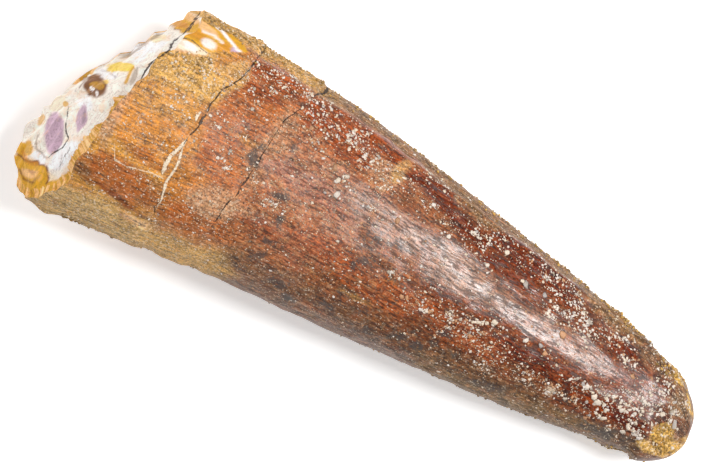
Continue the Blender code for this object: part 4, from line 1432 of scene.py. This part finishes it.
class FOSSIL_OT_tooth(Operator):
    """Make the tooth's own surface: crown, broken root and tip"""

    bl_idname = "fossil.tooth"
    bl_label = "Tooth Surface"

    def execute(self, context):
        tones = context.scene.fossil_tones
        sizes = context.scene.fossil_sizes
        face = np.linspace(0.0, 1.0, sizes.face_rows, endpoint=False) ** 0.9
        crown = np.linspace(1.0, 2.0, sizes.crown_rows, endpoint=False)
        tip = np.linspace(2.0, 3.0, sizes.tip_rows + 1)
        stage = np.concatenate([face, crown, tip])[:, None]
        turn = np.linspace(0.0, 2.0 * np.pi, sizes.around, endpoint=False)[None]
        angle = turn + 0.3 * np.cos(turn)

        smooth_form, dist, rim = tooth_form(stage, angle)
        table = tone_table(tones)
        crown_tones = crown_layer(table, dist, angle, smooth_form)
        fade = np.cos(0.5 * np.pi * np.clip(stage - 2.0, 0.0, 1.0)) * smooth(0.97, 1.0, stage)
        extra = fine_relief(sizes, dist, angle, smooth_form, crown_tones[..., 3]) * fade
        shaped, _, _ = tooth_form(stage, angle, extra)
        scar_gap, _ = beyond_flake(shaped, 0)
        share = np.broadcast_to(np.clip(stage, 0.0, 1.0), dist.shape)
        points = finish_form(shaped, share)

        corners, counts = skin_corners(len(stage) - 2, sizes.around)
        uv = self.unwrap(stage[:, 0], sizes.around, points, corners, counts)
        piece = mesh_from_arrays("tooth_surface", to_frame(with_poles(points)), corners, counts, uv)

        seen = seen_from_above(dist, angle)
        habit = np.stack([crown_tones[..., 3], crown_tones[..., 4], speck_share(*seen)], axis=-1)
        pale = 0.5 * (table["cream"] + table["white"])
        broken = stone_layer(table, points, pale, FACE_ZONES, FACE_STROKES, FACE_SHAKE, 0.14)
        mustard = table["mustard"]
        scar = stone_layer(table, points, mustard, SCAR_ZONES, SCAR_STROKES, SCAR_SHAKE, 0.18)
        rim_radius = np.hypot(shaped[..., 1] - BREAK_MIDDLE[0], shaped[..., 2] - BREAK_MIDDLE[1])
        inward = (share - 1.0) * rim_radius / np.maximum(share, 0.05)
        layers = {
            "flow": crown_flow(dist, angle),
            "crown_tone": crown_tones[..., :3],
            "broken_tone": broken[..., :3],
            "scar_tone": scar[..., :3],
            "crown_habit": habit,
            "stain": stain_strength(*seen),
            "rim_gap": np.where(stage < 1.0, inward, dist - rim),
            "scar_gap": scar_gap,
            **self.line_layers(seen, points),
        }
        store(piece, {name: with_poles(rows) for name, rows in layers.items()})
        piece.data.materials.append(enamel_finish(tones, sizes))
        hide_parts(NODE)
        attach(piece, BODY)
        return {"FINISHED"}

    @staticmethod
    def unwrap(stage, around_count, points, corners, counts):
        """UV places: the crown rolled out over most of the square, the broken root laid flat in a
        corner above it. Columns keep their own place at the seam."""
        last = len(stage) - 1
        row_of = np.concatenate([[0], np.repeat(np.arange(1, last), around_count), [last]])
        column_of = np.concatenate([[0], np.tile(np.arange(around_count), last - 1), [0]])
        row = row_of[corners]
        column = column_of[corners].astype(float)
        face_of = np.repeat(np.arange(len(counts)), counts)
        most = np.zeros(len(counts))
        np.maximum.at(most, face_of, column)
        column = np.where((most[face_of] == around_count - 1) & (column == 0), float(around_count), column)
        turned = column / around_count * ROLL_WIDTH + ROLL_SIDE
        rolled = np.stack([turned, ROLL_FOOT + ROLL_STAGE * (stage[row] - 1.0)], axis=-1)
        laid = LAID_CORNER + with_poles(points)[corners][:, 1:] / LAID_SCALE
        highest = np.zeros(len(counts))
        np.maximum.at(highest, face_of, stage[row])
        return np.where((highest[face_of] <= 1.0)[:, None], laid, rolled)

    @staticmethod
    def line_layers(seen, points):
        """Gaps and half widths of the cracks and veins, three lines to a layer, with the width of
        the band inside the root's rim and the gap to the crystal's outline."""
        along, across = (np.broadcast_to(part, points.shape[:-1]) for part in seen)
        plain_along, plain_across = as_pictured(*np.moveaxis(points, -1, 0))
        wander = noises(points, *CRACK_WANDER)
        cross, plain_cross = (across, along + wander), (plain_across, plain_along + wander)
        groups = {
            "crack": ((FIRST_CRACK, *cross), (SECOND_CRACK, *cross), (CRACK_FILL, *cross)),
            "vein": (
                (PALE_VEIN, along, across + wander), (SCAR_VEIN, plain_along, plain_across + wander),
                (FILL_BRANCH, *cross),
            ),
            "root": ((FACE_CRACK, *plain_cross), (SIDE_CRACK, *plain_cross), (CORNER_CRACK, *plain_cross)),
        }
        layers = {"rim_width": np.interp(plain_across, *np.array(RIM_BAND).T)}
        layers["crystal_gap"] = ellipse_reach(plain_along, plain_across, *CRYSTAL_SPOT, 0.0) - 1.0
        for name, lines in groups.items():
            gaps, widths = zip(*(line_gap(*line) for line in lines))
            layers[f"{name}_gaps"] = np.clip(np.stack(gaps, axis=-1), -3.0, 3.0)
            layers[f"{name}_widths"] = np.stack(widths, axis=-1)
        return layers


class FOSSIL_OT_specks(Operator):
    """Make the pale mineral specks on the enamel"""

    bl_idname = "fossil.specks"
    bl_label = "Mineral Specks"

    def execute(self, context):
        tones = context.scene.fossil_tones
        rng = np.random.default_rng(SPECK_SEED)
        groups = [self.cluster(rng, *cluster) for cluster in SPECK_CLUSTERS]
        *single, tan = np.array(SINGLE_CRUMBS).T
        groups.append((*single, tan > 0.5))
        start, end, strewn = SCATTER
        along = rng.uniform(start, end, strewn)
        half_width, _, middle_y, _ = section(along)
        across = middle_y + half_width * rng.uniform(-0.97, 0.97, strewn)
        groups.append((along, across, 0.12 + 0.16 * rng.random(strewn) ** 2, rng.random(strewn) < 0.3))
        along, across, size, tan = (np.concatenate(part) for part in zip(*groups))

        # A thinner, drifted set of the same clusters lies under the crown
        under = rng.random(len(along)) < UNDER_SHARE
        along, angle = place_of(along, across)
        below_along = np.clip(along[under] + rng.normal(*UNDER_DRIFT, under.sum()), 8.0, 70.0)
        below_angle = -angle[under] + rng.normal(0.0, 0.12, under.sum())
        keep = np.sin(below_angle) > -0.93
        below = (below_along, below_angle, size[under], tan[under])
        above = (along, angle, size, tan)
        both = [np.concatenate([part, lower[keep]]) for part, lower in zip(above, below)]

        held = on_enamel(*both[:2])
        along, angle, size, tan = (part[held] for part in both)
        count = len(along)
        spots = surface_spots(along, angle)
        flat = rng.uniform(0.14, 0.36, count)
        white = np.array(tones.white)
        cream = np.array(tones.cream)
        pick = rng.random((count, 1))
        colours = (cream + (white - cream) * 0.6 * pick) * (0.85 + 0.2 * rng.random((count, 1)))
        greyed = rng.random((count, 1)) < GREYED_SHARE
        colours = np.where(greyed, colours * GREYED, colours)
        tans = np.array(tones.pink_sand) * (0.9 + 0.5 * rng.random((count, 1)))
        colours = np.where(tan[:, None], tans, colours)
        finish = crumb_finish("mineral_speck_finish", 0.55)
        make_crumbs("mineral_specks", rng, spots, size, flat, 3, 7, np.clip(colours, 0.0, 1.0), finish)
        return {"FINISHED"}

    @staticmethod
    def cluster(rng, at, over, long, wide, turn, count, smallest, largest, tan_share):
        """Places of one cluster: small clumps even over a disc, squeezed to its ellipse and turned."""
        clumps = max(2, count // 3)
        radius = CLUMP_REACH * np.sqrt(rng.random(clumps))
        sweep = rng.uniform(0.0, 2.0 * np.pi, clumps)
        clump = rng.integers(0, clumps, count)
        spread_along, spread_across = CLUMP_SPREAD
        step = (radius * np.cos(sweep) * long)[clump] + rng.normal(0.0, spread_along, count)
        side = (radius * np.sin(sweep) * wide)[clump] + rng.normal(0.0, spread_across, count)
        cosine, sine = np.cos(np.radians(turn)), np.sin(np.radians(turn))
        size = smallest + (largest - smallest) * rng.random(count) ** FEW_LARGE
        tan = rng.random(count) < tan_share
        return at + step * cosine - side * sine, over + step * sine + side * cosine, size, tan


class FOSSIL_OT_sand(Operator):
    """Make the loose sand cemented to the edges, the root and the tip"""

    bl_idname = "fossil.sand"
    bl_label = "Sand Grains"

    def execute(self, context):
        tones = context.scene.fossil_tones
        rng = np.random.default_rng(SAND_SEED)
        groups = [self.bed(rng, *bed) for bed in SAND_BEDS]
        at, over, long, wide, crust = TIP_CRUST
        reach = np.sqrt(rng.random(crust))
        sweep = rng.uniform(0.0, 2.0 * np.pi, crust)
        places = place_of(at + long * reach * np.cos(sweep), over + wide * reach * np.sin(sweep))
        groups.append((*places, rng.random(crust) < 0.95))
        parts = [np.concatenate(part) for part in zip(*groups)]
        held = on_enamel(*parts[:2])
        along, angle, golden = (part[held] for part in parts)
        count = len(along)
        spots = surface_spots(along, angle)
        smallest, more = SAND_SIZE
        size = smallest + more * rng.random(count) ** FEW_LARGE
        flat = rng.uniform(0.6, 1.0, count)
        warm = np.array(tones.ochre_crust)
        brown = np.array(tones.olive_sand)
        pick = rng.random((count, 1))
        colours = np.where(golden[:, None], warm, brown) * (0.45 + 0.75 * pick)
        pale = rng.random((count, 1)) < PALE_SAND
        colours = np.where(pale, np.array(tones.cream), colours)
        finish = crumb_finish("sand_grain_finish", 0.5)
        make_crumbs("sand_grains", rng, spots, size, flat, 2, 5, np.clip(colours, 0.0, 1.0), finish)
        return {"FINISHED"}

    @staticmethod
    def bed(rng, at, degrees, long, reach, count, golden_share):
        """Places of one bed: a bell curve along and round the crown."""
        along = np.clip(at + long * rng.normal(0.0, 0.5, count), 7.5, 71.0)
        angle = np.radians(degrees + reach * rng.normal(0.0, 0.5, count))
        return along, angle, rng.random(count) < golden_share


class FOSSIL_OT_stage(Operator):
    """Make the floor, the lights and the camera"""

    bl_idname = "fossil.stage"
    bl_label = "Stage"

    def execute(self, context):
        settings = context.scene.fossil_studio
        self.floor(settings)
        self.lights(context.scene, settings)
        self.camera(context.scene)
        return {"FINISHED"}

    @staticmethod
    def floor(settings):
        """A flat square of two metres, a grid of equal cells."""
        side = np.linspace(-FLOOR_HALF, FLOOR_HALF, FLOOR_CELLS + 1)
        grid_x, grid_y = np.meshgrid(side, side, indexing="ij")
        points = np.stack([grid_x.ravel(), grid_y.ravel(), np.zeros(grid_x.size)], axis=-1)
        cell = np.arange(FLOOR_CELLS)
        column = FLOOR_CELLS + 1
        start = (cell[:, None] * column + cell).ravel()
        corners = np.stack([start, start + column, start + column + 1, start + 1], axis=-1).ravel()
        uv = points[corners][:, :2] * 0.5 + 0.5
        floor = mesh_from_arrays("floor", points, corners, np.full(len(start), 4), uv)
        kit = Finish("floor_paper")
        fleck = kit.noise(kit.spot(), 0.05, 3.0, 0.5)
        colour = kit.brighten(tuple(settings.floor), 0.995 + 0.01 * fleck)
        kit.shader.inputs["Emission Color"].default_value = (1.0, 1.0, 1.0, 1.0)
        kit.shader.inputs["Emission Strength"].default_value = settings.glow
        floor.data.materials.append(kit.close(colour, 0.9, kit.bump(0.01 * fleck)))

    @staticmethod
    def lights(scene, settings):
        """Light from all round, a long softbox that draws the highlight, and one past each end."""
        world = bpy.data.worlds.new("studio")
        world.use_nodes = True
        background = world.node_tree.nodes["Background"].inputs
        background["Color"].default_value = (1.0, 1.0, 1.0, 1.0)
        background["Strength"].default_value = settings.fill
        scene.world = world
        for setting, name, lean_x, lean_y, distance, long, wide in SOFTBOXES:
            light = bpy.data.lights.new(name, "AREA")
            light.shape = "RECTANGLE"
            light.size = long
            light.size_y = wide
            light.energy = getattr(settings, setting) * np.pi * long * wide
            way = unit_way(np.array((np.tan(np.radians(lean_x)), np.tan(np.radians(lean_y)), 1.0)))
            right = unit_way(np.cross((0.0, 1.0, 0.0), way))
            box = bpy.data.objects.new(name, light)
            turn = np.eye(4)
            turn[:3] = np.stack([right, np.cross(way, right), way, way * distance], axis=-1)
            box.matrix_world = Matrix(turn)
            box.visible_camera = False
            scene.collection.objects.link(box)

    @staticmethod
    def camera(scene):
        """Straight down on the tooth, rolled so that it lies across the picture."""
        camera = bpy.data.cameras.new("camera")
        camera.sensor_width = SENSOR
        camera.lens = SENSOR * VIEW_DISTANCE / VIEW_WIDTH
        camera.clip_start = 0.01
        eye = bpy.data.objects.new("camera", camera)
        across, along, height = (value * MM for value in VIEW_MIDDLE)
        eye.location = (across, along, height + VIEW_DISTANCE * MM)
        eye.rotation_euler = (0.0, 0.0, np.radians(VIEW_TURN))
        scene.collection.objects.link(eye)
        scene.camera = eye
        scene.view_settings.view_transform = "Standard"


OPERATORS = (FOSSIL_OT_tooth, FOSSIL_OT_specks, FOSSIL_OT_sand, FOSSIL_OT_stage)


class FOSSIL_PT_panel(Panel):
    """Lists the tooth's pieces"""

    bl_idname = "FOSSIL_PT_panel"
    bl_label = "Fossil Tooth"
    bl_space_type = "VIEW_3D"
    bl_region_type = "UI"
    bl_category = "Fossil"

    def draw(self, context):
        for operator in OPERATORS:
            self.layout.operator(operator.bl_idname)


GROUPS = {"fossil_tones": FossilTones, "fossil_sizes": FossilSizes, "fossil_studio": StudioSettings}
CLASSES = (*GROUPS.values(), *OPERATORS, FOSSIL_PT_panel)


def register():
    """Register the classes and hang the settings on the scene."""
    for made in CLASSES:
        bpy.utils.register_class(made)
    for name, group in GROUPS.items():
        setattr(bpy.types.Scene, name, PointerProperty(type=group))


def unregister():
    """Undo register."""
    for name in GROUPS:
        delattr(bpy.types.Scene, name)
    for made in reversed(CLASSES):
        bpy.utils.unregister_class(made)


def main():
    """Build every piece."""
    register()
    bpy.ops.fossil.tooth()
    bpy.ops.fossil.specks()
    bpy.ops.fossil.sand()
    bpy.ops.fossil.stage()


if __name__ == "__main__":
    main()
